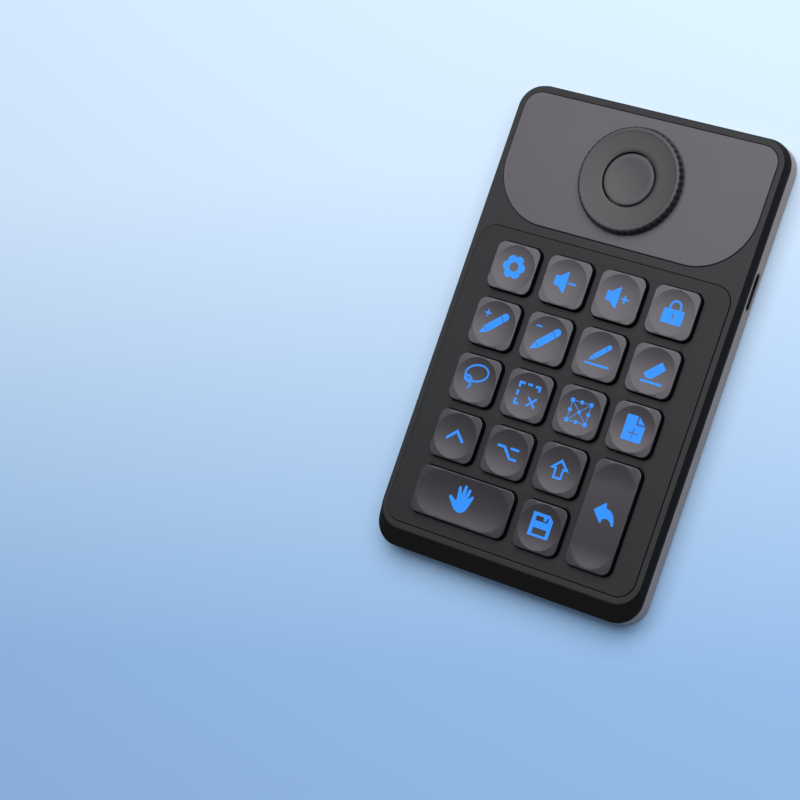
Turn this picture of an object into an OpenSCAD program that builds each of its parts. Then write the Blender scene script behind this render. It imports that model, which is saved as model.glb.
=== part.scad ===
// Macro keypad with eighteen keys and one push-button dial.
// Millimetres. The origin is on the desk under the middle of the case,
// +X is to the right, +Y runs from the wide key towards the dial, +Z is up.

/* [Key grid] */
// Distance between the centres of neighbouring keys
key_pitch = 17.5; // [17:0.25:19]
// Width of a single keycap across its top
cap_size = 14.5; // [13.5:0.1:14.8]
// Gap between a keycap's skirt and its opening
key_gap = 0.28; // [0.2:0.02:0.4]
// How far a key goes down when it is pressed
key_travel = 1.5; // [1:0.1:1.6]

/* [Keycaps] */
// How far the key tops stand above the rim
key_stand = 2.1; // [1.8:0.1:2.6]
// How far a skirt reaches down below the rim at rest
skirt_dip = 0.5; // [0.3:0.1:0.6]
// Corner radius of a keycap
cap_corner = 2.6; // [1.8:0.1:3.4]
// How much a skirt widens on each side towards its foot
cap_draft = 0.08; // [0.04:0.02:0.12]
// Rounding of the top edge
cap_edge = 0.25; // [0.15:0.05:0.5]
// Wall of a keycap's skirt
cap_wall = 1; // [0.8:0.1:1.4]
// Thickness of the roof under the middle of the dish
cap_roof = 1.1; // [0.8:0.1:1.2]
// Depth of the finger dish of a single key
dish_depth = 0.45; // [0.2:0.05:0.6]
// Depth of the long dish of a double key
long_dish_depth = 0.25; // [0.15:0.05:0.4]

/* [Key guides] */
// Width of the cross-shaped stem
stem_w = 5; // [4.6:0.1:5.4]
// Width of each arm of the cross
stem_arm = 2.2; // [1.8:0.1:2.6]
// Running clearance of a stem in its chimney, on each side
stem_fit = 0.1; // [0.08:0.01:0.15]
// Wall of a guide chimney
chimney_wall = 1.1; // [1:0.1:1.4]
// How far a catch reaches out of the stem
catch_reach = 0.6; // [0.5:0.05:0.7]
// Height of a catch
catch_h = 0.7; // [0.5:0.1:0.8]
// Diameter of the guide posts of the double keys
post_d = 3; // [2.6:0.1:3.4]
// Thickness of the guide frame
frame_t = 1; // [0.8:0.1:1.2]
// Corner radius of the guide frame and the rubber mat
frame_corner = 3; // [2:0.5:5]

/* [Case] */
// From the outer keycaps to the rim at the sides
side_border = 9.85; // [9:0.1:12]
// From the nearest keycap to the rim at the front
front_border = 6.25; // [6:0.1:8]
// From the top row of keycaps to the rim at the back
dial_bay_l = 48.1; // [47:0.1:54]
// How far the side and back walls lean out below the rim
side_run = 0.8; // [0.4:0.1:1.2]
// How far the front wall leans out below the rim
front_run = 5.35; // [4:0.05:6.5]
// Corner radius of the rim
rim_corner = 7.35; // [6.5:0.05:9]
// Corner radius of the case at its widest
case_corner = 8; // [7.6:0.1:10]
// Height of the bottom case's wall
tray_h = 5; // [4.8:0.1:5.4]
// Height of the top case from the parting line to the rim
cover_h = 4; // [3.8:0.1:4.6]
// Height of the upright foot of the top case's walls
cover_foot = 1.4; // [0.4:0.1:2]
// Thickness of the side walls
wall_t = 1.5; // [1.3:0.1:1.7]
// Thickness of the floor
floor_t = 1.3; // [1.1:0.1:1.4]
// Thickness of the deck under the inset plates
deck_t = 1.5; // [1.3:0.1:1.6]
// Rounding of the case's bottom edge
base_edge = 0.3; // [0.2:0.1:1]

/* [Inset plates] */
// Width of the rim round the inset plates
rim_margin = 1.85; // [1.5:0.05:2.4]
// Depth of the recess for the inset plates
recess_d = 0.85; // [0.7:0.05:0.95]
// How far the key plate stands above the rim
plate_proud = 0.15; // [0.05:0.05:0.3]
// How far the dial panel stands above the rim
panel_proud = 0.3; // [0.1:0.05:0.5]
// Seam between an inset plate and the wall of its recess
seam = 0.15; // [0.1:0.05:0.25]
// Bevel round the top of an inset plate
plate_bevel = 0.15; // [0.05:0.05:0.25]
// From the top row of keycaps to the far edge of the key plate
plate_border = 4.1; // [3.5:0.1:5]
// Bridge of the top case between the key plate and the dial panel
bridge_w = 2.8; // [2:0.1:3.5]
// Radius of the dial panel's two near corners
panel_corner = 18; // [12:0.5:18.5]

/* [Dial] */
// Diameter of the dial
dial_d = 32; // [31:0.5:33]
// Height of the dial's top above the dial panel
dial_stand = 2.6; // [2.2:0.1:3.2]
// Depth of the round well that the dial sits in
well_depth = 0.6; // [0.4:0.05:0.65]
// Gap round and under the dial
dial_gap = 0.3; // [0.25:0.05:0.4]
// Number of grip flutes round the dial
flutes = 48; // [36:1:60]
// Radius of a grip flute
flute_r = 0.5; // [0.4:0.05:0.6]
// Diameter of the push button in the dial
button_d = 15.8; // [14.8:0.1:16]
// How far the push button goes down
button_travel = 0.5; // [0.3:0.1:0.6]
// Running clearance of the turning and sliding sleeves
sleeve_fit = 0.1; // [0.06:0.01:0.1]
// Inner radius of the fixed sleeve that guides the push button
guide_bore_r = 6.2; // [6:0.1:6.2]
// Wall of the fixed sleeve
guide_wall = 0.95; // [0.9:0.05:1]
// Wall of the encoder's turning tube
rotor_wall = 1.35; // [1.1:0.05:1.4]
// Radius of the encoder's housing
encoder_r = 12; // [11.6:0.1:12.6]

/* [Board and battery] */
// Free height between the floor and the circuit board
board_gap = 0.6; // [0.55:0.05:0.7]
// Thickness of the circuit board
board_t = 1; // [0.8:0.1:1.1]
// Thickness of the rubber mat between the domes
mat_t = 0.3; // [0.2:0.05:0.35]
// Height of a rubber dome above the mat
dome_h = 1.9; // [1.8:0.05:2]
// Height of the battery
battery_h = 4.2; // [3.6:0.1:4.4]
// Width of the battery
battery_w = 22; // [18:0.5:22.5]
// Room between the battery and the left wall
battery_room = 2.75; // [2.5:0.05:3.5]

/* [Power switch] */
// Length of the slot in the right wall
slot_l = 10.4; // [10:0.1:12]
// Height of the slot
slot_h = 1.9; // [1.8:0.05:2.2]
// Height of the middle of the slot above the desk
slot_z = 3.4; // [3.3:0.05:3.6]
// Middle of the slot, measured from the middle of the top row of keys
slot_from_row = 12.8; // [12:0.1:14]
// Wall of the bezel that lines the slot
bezel_t = 0.25; // [0.2:0.05:0.35]
// Length of the slider's finger piece
slider_l = 5; // [4.5:0.1:5.5]
// How far the slider moves
slider_travel = 3; // [2.5:0.1:3.2]

/* [Fasteners and feet] */
// Thread diameter of the case screws
case_screw_d = 2; // [1.8:0.1:2.2]
// Thread diameter of the board screws
board_screw_d = 1.6; // [1.4:0.1:1.8]
// From the ends of the case to the case screws
screw_inset_y = 7; // [6.8:0.1:7.6]
// From the sides of the case to the case screws
screw_inset_x = 6.4; // [6.2:0.1:7.2]
// How far the board screws reach above the board
board_screw_reach = 2.1; // [1.8:0.1:2.3]
// Height that the rubber feet stand out of the floor
foot_h = 0.6; // [0.5:0.1:1]
// Depth of the foot strips' recess
foot_recess = 0.4; // [0.3:0.05:0.5]
// Width of a foot strip
foot_w = 8; // [7:0.5:9]

/* [Hidden] */
$fn = 64;
ROWS = 5;
COLUMNS = 4;
// Name, column, row, width and height in keys. The first row is next to the dial.
KEYS = [
    ["keycap_settings", 0, 0, 1, 1],
    ["keycap_volume_down", 1, 0, 1, 1],
    ["keycap_volume_up", 2, 0, 1, 1],
    ["keycap_lock", 3, 0, 1, 1],
    ["keycap_brush_larger", 0, 1, 1, 1],
    ["keycap_brush_smaller", 1, 1, 1, 1],
    ["keycap_pen", 2, 1, 1, 1],
    ["keycap_eraser", 3, 1, 1, 1],
    ["keycap_lasso", 0, 2, 1, 1],
    ["keycap_deselect", 1, 2, 1, 1],
    ["keycap_transform", 2, 2, 1, 1],
    ["keycap_new_page", 3, 2, 1, 1],
    ["keycap_control", 0, 3, 1, 1],
    ["keycap_alternate", 1, 3, 1, 1],
    ["keycap_shift", 2, 3, 1, 1],
    ["keycap_undo", 3, 3, 1, 2],
    ["keycap_hand", 0, 4, 2, 1],
    ["keycap_save", 2, 4, 1, 1]
];

// Plan of the case
rim_w = (COLUMNS - 1) * key_pitch + cap_size + 2 * side_border;
rim_l = front_border + (ROWS - 1) * key_pitch + cap_size + dial_bay_l;
case_w = rim_w + 2 * side_run;
case_l = front_run + rim_l + side_run;
rim_front = -case_l / 2 + front_run;
rim_back = case_l / 2 - side_run;
last_row_y = rim_front + front_border + cap_size / 2;
first_row_y = last_row_y + (ROWS - 1) * key_pitch;
first_column_x = -(COLUMNS - 1) / 2 * key_pitch;

// Plan of the inset plates
plate_w = rim_w - 2 * rim_margin;
plate_front = rim_front + rim_margin;
plate_back = first_row_y + cap_size / 2 + plate_border;
panel_front = plate_back + bridge_w;
panel_back = rim_back - rim_margin;
inset_corner = rim_corner - rim_margin;
dial_y = (panel_front + panel_back) / 2;

// Heights from the desk up
parting_z = foot_h + tray_h;
rim_z = parting_z + cover_h;
recess_z = rim_z - recess_d;
deck_z = recess_z - deck_t;
frame_z = deck_z - frame_t;
floor_z = foot_h + floor_t;
board_z = floor_z + board_gap;
board_top = board_z + board_t;
mat_top = board_top + mat_t;
dome_top = mat_top + dome_h;
panel_top = rim_z + panel_proud;

// Keycap, from the foot of its skirt up
skirt_z = rim_z - skirt_dip;
cap_h = skirt_dip + key_stand;
cap_ceiling = cap_h - dish_depth - cap_roof;
dish_d = cap_size - 2 * cap_edge - 0.2;
opening_size = cap_size + 2 * cap_draft + 2 * key_gap;
opening_corner = cap_corner + cap_draft + key_gap;

// Stem, catches and chimney
stop_gap = 0.05;
dome_gap = 0.1;
stem_foot_z = dome_top + dome_gap;
chimney_bore = stem_w + 2 * stem_fit;
chimney_w = chimney_bore + 2 * chimney_wall;
chimney_foot_z = mat_top + 1.2;
chimney_top_z = skirt_z + cap_ceiling - key_travel - 0.35;
catch_z = stem_foot_z + stop_gap;
catch_w = 1.8;
post_reach = key_pitch / 2;

// Inner plan of the case
cavity_corner = case_corner - wall_t;
cover_front = front_run * max(0, deck_z - parting_z - cover_foot) / (cover_h - cover_foot) + 1.5;
lip_h = 0.7;
lip_t = 0.8;
lip_gap = 0.1;

// Case screws, foot strips and board screws
screw_x = case_w / 2 - screw_inset_x;
screw_y = case_l / 2 - screw_inset_y;
SCREWS = [for (sx = [-1, 1], sy = [-1, 1]) [sx * screw_x, sy * screw_y]];
screw_clear = 0.15;
thread_clear = 0.05;
head_d = 2 * case_screw_d;
head_h = 0.5 * case_screw_d;
head_seat_z = foot_h + foot_recess + head_h + 0.6;
case_boss_r = case_screw_d / 2 + 1.5;
tray_boss_r = head_d / 2 + 1.1;
STAKE_CELLS = [[1.5, 0.5], [0.5, 1.5], [2.5, 1.5], [1.5, 2.5], [0.5, 3.5], [2.5, 3.5]];
BOARD_CELLS = [[0.5, 0.5], [2.5, 0.5], [1.5, 1.5], [0.5, 2.5], [2.5, 2.5], [1.5, 3.5]];
stake_r = 0.9;
stake_head_r = 1.5;
stake_head_h = 0.6;
board_boss_r = board_screw_d / 2 + 1.2;
board_head_r = board_screw_d / 2 + 0.9;
board_head_h = 0.45;
pilot_room = 0.5;

// Key guide frame and dome mat
frame_w = (COLUMNS - 1) * key_pitch + cap_size + 6;
frame_front = last_row_y - cap_size / 2 - 0.6;
frame_back = first_row_y + cap_size / 2 + 1.4;

// Battery bay, left of the dial
battery_l = 30;
battery_gap = 0.4;
battery_x = -(case_w / 2 - wall_t - battery_room - battery_w / 2);
battery_y = dial_y - 3.7;
bay_right = battery_x + battery_w / 2 + battery_gap;
pad_inset = 3;
terrace_l = 2.6;
terrace_t = 1.2;
lead_r = 0.4;
lead_l = 7;
lead_y = battery_y + (battery_l - terrace_l) / 2;
plug_x = bay_right + 0.5;

// Circuit board and what stands on it right of the dial
board_room = lip_gap + lip_t + 0.6;
board_right = case_w / 2 - wall_t - board_room;
// Places of the board screws round the dial, clear of the encoder, the battery and the chips
BAY_SCREWS = [
    [bay_right + 3, dial_y - 15.7],
    [board_right - 23, dial_y + 13.8],
    [board_right - 12, dial_y - 14]
];
// Place from the board's right edge and from the dial, width, length and height of each chip
CHIPS = [[14, -2, 7, 7, 0.9], [15, 9, 11, 9, 1.6], [22.5, -5, 4, 5, 0.8]];

// Dial, encoder and push button
well_floor = panel_top - well_depth;
dial_foot = well_floor + dial_gap;
dial_top = panel_top + dial_stand;
guide_r = guide_bore_r + guide_wall;
rotor_bore_r = guide_r + sleeve_fit;
rotor_r = rotor_bore_r + rotor_wall;
rotor_top = dial_foot - 0.2;
hub_wall = 1.8;
hub_r = rotor_r + hub_wall;
hub_foot = deck_z + 0.35;
button_r = button_d / 2;
dial_bore_r = button_r + dial_gap;
button_top = dial_top - 0.4;
button_head_z = rotor_top + button_travel + 0.6;
plunger_r = guide_bore_r - sleeve_fit;
encoder_base_t = 0.5;
encoder_lid_t = 0.6;
encoder_top = board_top + 3;
disc_r = encoder_r - 1.2;
disc_z = board_top + encoder_base_t + 0.2;
disc_top = encoder_top - encoder_lid_t - 0.2;
push_body_h = 2.6;
push_plunger_r = 1.65;
push_top = board_top + push_body_h + button_travel + 0.4;

// Charging socket in the back wall
socket_w = 8.94;
socket_h = 3.26;
socket_l = 7.35;
socket_z = board_top + 0.9;
socket_mouth_y = case_l / 2 - 0.5;
socket_gap = 0.15;

// Power switch on the right wall
slot_y = first_row_y + slot_from_row;
slider_y = slot_y - slider_travel / 2;
slot_wall_x = case_w / 2 - wall_t;
bezel_flange_t = 0.3;
bezel_lap = 0.8;
bezel_fit = 0.02;
bezel_sink = 0.05;
slider_gap = 0.2;
slider_face_x = case_w / 2 - 0.15;
flange_x = slot_wall_x - bezel_flange_t - slider_gap;
flange_t = 0.8;
flange_foot = floor_z + 0.2;
flange_l = slot_l + slider_travel + 0.6;
fork_t = 0.7;
switch_l = 9;
switch_depth = 4.2;
switch_h = 2;
switch_face_x = flange_x - flange_t - 1;
lever_w = 2;
lever_h = 0.6;
lever_z = board_top + 0.5;

function key_x(k) = first_column_x + (k[1] + (k[3] - 1) / 2) * key_pitch;
function key_y(k) = first_row_y - (k[2] + (k[4] - 1) / 2) * key_pitch;
function cell_xy(c) = [first_column_x + c[0] * key_pitch, first_row_y - c[1] * key_pitch];
function span(keys, size) = (keys - 1) * key_pitch + size;
function ball_r(depth) = (dish_d * dish_d / 4 + depth * depth) / (2 * depth);
// Half section of a rounded block whose side is drawn in by steps = [inset, height]
function half_section(r, steps) = concat(
    [[0, steps[0][1]]],
    [for (s = steps) [r - s[0], s[1]]],
    [[0, steps[len(steps) - 1][1]]]
);

// ---- Shared shapes ----

// Flat rounded rectangle made of squares and circles
module rounded_rect(w, l, r) {
    square([w - 2 * r, l], center = true);
    square([w, l - 2 * r], center = true);
    for (sx = [-1, 1], sy = [-1, 1])
        translate([sx * (w / 2 - r), sy * (l / 2 - r)])
            circle(r);
}

// Rounded rectangle between two values of y
module rounded_span(w, y0, y1, r) {
    translate([0, (y0 + y1) / 2])
        rounded_rect(w, y1 - y0, r);
}

// Block whose rounded outline is drawn in by steps = [inset, height], from the bottom up.
// Its near and far corners can have different radii.
module stepped_block(w, l, near_r, far_r, steps) {
    near_x = w / 2 - near_r;
    near_y = l / 2 - near_r;
    far_x = w / 2 - far_r;
    far_y = l / 2 - far_r;
    corners = [
        [far_x, far_y, far_r], [-far_x, far_y, far_r],
        [-near_x, -near_y, near_r], [near_x, -near_y, near_r]
    ];
    // Turn, start, length and depth of the straight sides
    sides = [
        [0, [near_x, far_y], near_y + far_y, near_r],
        [90, [-far_x, far_y], 2 * far_x, far_r],
        [180, [-near_x, -near_y], near_y + far_y, near_r],
        [270, [near_x, -near_y], 2 * near_x, near_r]
    ];
    z0 = steps[0][1];
    z1 = steps[len(steps) - 1][1];
    for (i = [0:3]) {
        translate([corners[i][0], corners[i][1], 0])
            rotate([0, 0, 90 * i])
                rotate_extrude(angle = 90)
                    polygon(half_section(corners[i][2], steps));
        translate([sides[i][1][0], sides[i][1][1], 0])
            rotate([90, 0, sides[i][0]])
                linear_extrude(sides[i][2])
                    polygon(half_section(sides[i][3], steps));
    }
    translate([-near_x, -near_y, z0])
        cube([2 * near_x, near_y + far_y, z1 - z0]);
}

// Places its children on every key, with $k as the key's row of KEYS
module at_keys() {
    for (k = KEYS)
        translate([key_x(k), key_y(k), 0]) {
            $k = k;
            children();
        }
}

// Turns its children so that a double key's long side lies along +X
module along_key(k) {
    rotate([0, 0, k[4] > k[3] ? 90 : 0])
        children();
}

module tube(r_out, r_in, z0, z1) {
    translate([0, 0, z0])
        difference() {
            cylinder(r = r_out, h = z1 - z0);
            translate([0, 0, -1])
                cylinder(r = r_in, h = z1 - z0 + 2);
        }
}

// Plan of every key opening, widened by extra on each side
module key_openings(extra) {
    at_keys()
        rounded_rect(
            span($k[3], opening_size) + 2 * extra,
            span($k[4], opening_size) + 2 * extra,
            opening_corner + extra
        );
}

// ---- Case ----

// Plan of the case at its widest
module case_plan(inset) {
    rounded_rect(case_w - 2 * inset, case_l - 2 * inset, case_corner - inset);
}

// Plan of the top case's inside, which keeps clear of the sloped front
module cover_cavity(inset) {
    rounded_span(
        case_w - 2 * wall_t - 2 * inset,
        -case_l / 2 + cover_front + inset,
        case_l / 2 - wall_t - inset,
        cavity_corner - inset
    );
}

// Opening of the charging socket, through the back wall
module socket_opening() {
    translate([0, case_l / 2 + 1, socket_z])
        rotate([90, 0, 0])
            linear_extrude(wall_t + 3)
                rounded_rect(
                    socket_w + 2 * socket_gap,
                    socket_h + 2 * socket_gap,
                    socket_h / 2 + socket_gap - 0.01
                );
}

// Outline of the power slider's slot, drawn in by inset
module slot_plan(inset) {
    rounded_rect(slot_l - 2 * inset, slot_h - 2 * inset, slot_h / 2 - inset - 0.01);
}

module foot_outline(extra) {
    rounded_rect(2 * screw_x + foot_w + 2 * extra, foot_w + 2 * extra, foot_w / 2 + extra - 0.01);
}

module bottom_case() {
    rib_l = frame_back - frame_front - 4;
    color("#7a7276")
    difference() {
        union() {
            difference() {
                stepped_block(case_w, case_l, case_corner, case_corner, [
                    [base_edge, foot_h],
                    [base_edge * 0.3, foot_h + base_edge * 0.3],
                    [0, foot_h + base_edge],
                    [0, parting_z]
                ]);
                translate([0, 0, floor_z])
                    linear_extrude(tray_h)
                        case_plan(wall_t);
            }
            // Locating lip on the left, right and back walls
            translate([0, 0, floor_z])
                linear_extrude(parting_z + lip_h - floor_z)
                    difference() {
                        cover_cavity(lip_gap);
                        cover_cavity(lip_gap + lip_t);
                        translate([0, -case_l / 2])
                            square([case_w, 4 * case_corner], center = true);
                        translate([case_w / 2, slot_y])
                            square([6 * wall_t, flange_l + slider_travel + 0.8], center = true);
                        translate([0, case_l / 2])
                            square([socket_w + 3, 4 * wall_t], center = true);
                    }
            // Screw pillars
            for (p = SCREWS)
                translate([p[0], p[1], foot_h + 0.1])
                    cylinder(r = tray_boss_r, h = parting_z - foot_h - 0.2);
            // Ribs that carry the circuit board under the keys
            for (i = [0:COLUMNS - 1])
                translate([first_column_x + i * key_pitch, (frame_front + frame_back) / 2, floor_z])
                    translate([0, 0, board_gap / 2])
                        cube([1.2, rib_l, board_gap], center = true);
            // Ribs under the dial's end of the board and round the battery
            for (x = [bay_right + 1.8, encoder_r - 3, encoder_r + 12])
                translate([x - 0.6, dial_y - encoder_r, floor_z - 0.01])
                    cube([1.2, 2 * encoder_r, board_gap + 0.01]);
            for (s = [-1, 1])
                translate([battery_x, battery_y + s * (battery_l / 2 + 0.8), floor_z + 0.99])
                    cube([battery_w, 0.8, 2], center = true);
        }
        for (p = SCREWS)
            translate([p[0], p[1], 0]) {
                cylinder(r = case_screw_d / 2 + screw_clear, h = parting_z + 1);
                cylinder(r = head_d / 2 + screw_clear, h = head_seat_z);
            }
        for (s = [-1, 1])
            translate([0, s * screw_y, 0])
                linear_extrude(foot_h + foot_recess)
                    foot_outline(0.1);
        socket_opening();
        translate([case_w / 2 - 2 * wall_t, slot_y, slot_z])
            rotate([90, 0, 90])
                linear_extrude(4 * wall_t)
                    slot_plan(0);
    }
}

// Outer form of the top case: a rim drawn in from the case's widest outline
module cover_form() {
    $fn = 32;
    hull() {
        translate([0, 0, parting_z])
            linear_extrude(cover_foot)
                case_plan(0);
        translate([0, 0, rim_z - 0.7])
            linear_extrude(0.01)
                rounded_span(
                    rim_w + 2 * side_run * 0.175,
                    rim_front - front_run * 0.175,
                    rim_back + side_run * 0.175,
                    rim_corner + 0.15
                );
        translate([0, 0, rim_z - 0.2])
            linear_extrude(0.01)
                rounded_span(rim_w, rim_front, rim_back, rim_corner);
        translate([0, 0, rim_z - 0.01])
            linear_extrude(0.01)
                rounded_span(rim_w - 0.4, rim_front + 0.2, rim_back - 0.2, rim_corner - 0.2);
    }
}

module top_case() {
    color("#1c1c1e")
    difference() {
        union() {
            difference() {
                cover_form();
                translate([0, 0, parting_z - 1])
                    linear_extrude(deck_z - parting_z + 1)
                        cover_cavity(0);
            }
            // Bosses for the case screws
            for (p = SCREWS)
                translate([p[0], p[1], parting_z - 0.1])
                    cylinder(r = case_boss_r, h = deck_z - parting_z + 0.2);
            // Bosses for the board screws in the dial bay
            for (p = BAY_SCREWS)
                translate([p[0], p[1], board_top])
                    cylinder(r = board_boss_r, h = deck_z - board_top + 0.1);
            // Stakes that hold the guide frame, with their melted heads
            for (c = STAKE_CELLS)
                translate(cell_xy(c)) {
                    translate([0, 0, frame_z - 0.1])
                        cylinder(r = stake_r, h = frame_t + 0.2);
                    translate([0, 0, frame_z - stake_head_h])
                        cylinder(r1 = stake_head_r - 0.4, r2 = stake_head_r, h = stake_head_h);
                }
        }
        translate([0, 0, recess_z])
            linear_extrude(recess_d + 1)
                rounded_span(plate_w, plate_front, plate_back, inset_corner);
        translate([0, 0, recess_z])
            linear_extrude(recess_d + 1)
                panel_plan();
        translate([0, 0, deck_z - 1])
            linear_extrude(deck_t + 2)
                key_openings(0.1);
        translate([0, dial_y, deck_z - 1])
            cylinder(r = hub_r + dial_gap, h = deck_t + 2);
        for (p = SCREWS)
            translate([p[0], p[1], parting_z - 1])
                cylinder(r = case_screw_d / 2 + thread_clear, h = recess_z - parting_z + 0.5);
        for (p = BAY_SCREWS)
            translate([p[0], p[1], board_top - 1])
                cylinder(r = board_screw_d / 2 + thread_clear, h = board_screw_reach + pilot_room + 1);
        socket_opening();
    }
}

// ---- Inset plates ----

// Levels of an inset plate with a beveled top edge
function plate_steps(top) = [[0, recess_z], [0, top - plate_bevel], [plate_bevel, top]];

module key_plate() {
    color("#3c3c3e")
    difference() {
        translate([0, (plate_front + plate_back) / 2, 0])
            stepped_block(
                plate_w - 2 * seam,
                plate_back - plate_front - 2 * seam,
                inset_corner - seam,
                inset_corner - seam,
                plate_steps(rim_z + plate_proud)
            );
        translate([0, 0, recess_z - 1])
            linear_extrude(recess_d + plate_proud + 2)
                key_openings(0);
    }
}

// Plan of the dial panel, with wide near corners and small far ones
module panel_plan() {
    half_w = plate_w / 2;
    for (s = [-1, 1]) {
        translate([s * (half_w - panel_corner), panel_front + panel_corner])
            circle(panel_corner);
        translate([s * (half_w - inset_corner), panel_back - inset_corner])
            circle(inset_corner);
    }
    translate([panel_corner - half_w, panel_front])
        square([2 * (half_w - panel_corner), panel_back - panel_front]);
    translate([inset_corner - half_w, panel_front + panel_corner])
        square([2 * (half_w - inset_corner), panel_back - panel_front - panel_corner]);
    translate([-half_w, panel_front + panel_corner])
        square([plate_w, panel_back - panel_front - panel_corner - inset_corner]);
}

module dial_panel() {
    color("#6b676c")
    difference() {
        translate([0, (panel_front + panel_back) / 2, 0])
            stepped_block(
                plate_w - 2 * seam,
                panel_back - panel_front - 2 * seam,
                panel_corner - seam,
                inset_corner - seam,
                plate_steps(panel_top)
            );
        translate([0, dial_y, well_floor])
            cylinder(r = dial_d / 2 + dial_gap, h = well_depth + 1);
        translate([0, dial_y, recess_z - 1])
            cylinder(r = hub_r + dial_gap, h = recess_d + 2);
    }
}

// ---- Keys ----

// Finger dish: a shallow ball for a single key, longer and shallower for a double one
module dish_cutter(keys) {
    reach = (keys - 1) * key_pitch / 2;
    depth = keys > 1 ? long_dish_depth : dish_depth;
    r = ball_r(depth);
    translate([0, 0, cap_h - depth + r]) {
        for (s = keys > 1 ? [-1, 1] : [0])
            translate([s * reach, 0, 0])
                sphere(r = r, $fn = 256);
        if (keys > 1)
            rotate([0, 90, 0])
                cylinder(r = r, h = 2 * reach, center = true, $fn = 256);
    }
}

// Cross-shaped stem with a catch on two of its arms
module key_stem() {
    stem_z = stem_foot_z - skirt_z;
    for (turn = [0, 90])
        rotate([0, 0, turn])
            translate([-stem_w / 2, -stem_arm / 2, stem_z])
                cube([stem_w, stem_arm, cap_ceiling - stem_z + 0.01]);
    for (s = [-1, 1])
        translate([s * stem_w / 2, 0, catch_z - skirt_z])
            rotate([90, 0, 0])
                linear_extrude(catch_w, center = true)
                    polygon([[0, 0], [s * catch_reach * 0.4, 0],
                             [s * catch_reach, catch_h * 0.5], [s * catch_reach, catch_h], [0, catch_h]]);
}

// One keycap, with its long side along +X and the foot of its skirt at z = 0
module cap_form(keys) {
    w = span(keys, cap_size);
    rib_l = cap_size / 2 - cap_wall - chimney_w / 2 - 0.4;
    rib_t = 0.8;
    rib_h = 0.9;
    difference() {
        stepped_block(w, cap_size, cap_corner, cap_corner, [
            [-cap_draft, 0],
            [0, cap_h - cap_edge],
            [cap_edge * 0.3, cap_h - cap_edge * 0.3],
            [cap_edge, cap_h]
        ]);
        translate([0, 0, -1])
            linear_extrude(cap_ceiling + 1)
                rounded_rect(w - 2 * cap_wall, cap_size - 2 * cap_wall, cap_corner - cap_wall);
        dish_cutter(keys);
    }
    key_stem();
    // Stiffening ribs between the roof and the skirt
    for (turn = [0:3])
        rotate([0, 0, 90 * turn]) {
            skirt_x = (turn % 2 == 0 ? w : cap_size) / 2 - cap_wall;
            translate([skirt_x - rib_l, -rib_t / 2, cap_ceiling - rib_h])
                cube([rib_l + 0.01, rib_t, rib_h + 0.01]);
        }
    if (keys > 1)
        for (s = [-1, 1])
            translate([s * post_reach, 0, stem_foot_z - skirt_z])
                cylinder(d = post_d, h = cap_ceiling - stem_foot_z + skirt_z + 0.01);
}

module keycap(k) {
    color("#5a575b")
    translate([key_x(k), key_y(k), skirt_z])
        along_key(k)
            cap_form(max(k[3], k[4]));
}

module guide_frame() {
    sleeve_r = post_d / 2 + stem_fit + 1;
    color("#2a2a2c")
    difference() {
        union() {
            translate([0, 0, frame_z])
                linear_extrude(frame_t)
                    rounded_span(frame_w, frame_front, frame_back, frame_corner);
            at_keys() {
                translate([0, 0, (chimney_foot_z + chimney_top_z) / 2])
                    cube([chimney_w, chimney_w, chimney_top_z - chimney_foot_z], center = true);
                if (max($k[3], $k[4]) > 1)
                    along_key($k)
                        for (s = [-1, 1])
                            translate([s * post_reach, 0, chimney_foot_z])
                                cylinder(r = sleeve_r, h = chimney_top_z - chimney_foot_z);
            }
            for (c = BOARD_CELLS)
                translate(concat(cell_xy(c), mat_top))
                    cylinder(r = board_boss_r, h = frame_z - mat_top + 0.1);
        }
        at_keys() {
            translate([0, 0, frame_z])
                cube([chimney_bore, chimney_bore, 8 * frame_t], center = true);
            // Windows that the catches run in, closed at the top
            along_key($k)
                translate([0, 0, (chimney_foot_z - 1 + catch_z + catch_h + stop_gap) / 2])
                    cube([
                        stem_w + 2 * catch_reach + 0.5,
                        catch_w + 0.4,
                        catch_z + catch_h + stop_gap - chimney_foot_z + 1
                    ], center = true);
            if (max($k[3], $k[4]) > 1)
                along_key($k)
                    for (s = [-1, 1])
                        translate([s * post_reach, 0, frame_z - 4])
                            cylinder(r = post_d / 2 + stem_fit, h = 8);
        }
        for (c = STAKE_CELLS)
            translate(concat(cell_xy(c), frame_z - 1))
                cylinder(r = stake_r + thread_clear, h = frame_t + 2);
        for (c = BOARD_CELLS)
            translate(concat(cell_xy(c), mat_top - 1))
                cylinder(r = board_screw_d / 2 + thread_clear, h = board_screw_reach + 0.9);
    }
}

module dome_mat() {
    base_r = 3.6;
    top_r = 1.9;
    skin = 0.35;
    color("#b8b8ba")
    difference() {
        union() {
            translate([0, 0, board_top])
                linear_extrude(mat_t)
                    rounded_span(frame_w - 2, frame_front + 1, frame_back - 1, frame_corner);
            at_keys()
                translate([0, 0, mat_top - 0.01])
                    rotate_extrude()
                        polygon([[0, 0], [base_r, 0], [top_r + 0.3, dome_h * 0.65],
                                 [top_r, dome_h + 0.01], [0, dome_h + 0.01]]);
        }
        // Hollow under each dome, round its hanging contact pill
        at_keys()
            translate([0, 0, board_top - 1])
                rotate_extrude()
                    polygon([[0, 0], [base_r - skin, 0], [base_r - skin, 1 + mat_t],
                             [top_r - skin, 1 + mat_t + dome_h * 0.6], [1, 1 + mat_t + dome_h * 0.6],
                             [1, 1 + mat_t + dome_h * 0.45], [0, 1 + mat_t + dome_h * 0.45]]);
        for (c = BOARD_CELLS)
            translate(concat(cell_xy(c), board_top - 1))
                cylinder(r = board_screw_d / 2 + screw_clear, h = 3);
    }
}

// ---- Board and battery ----

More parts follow.
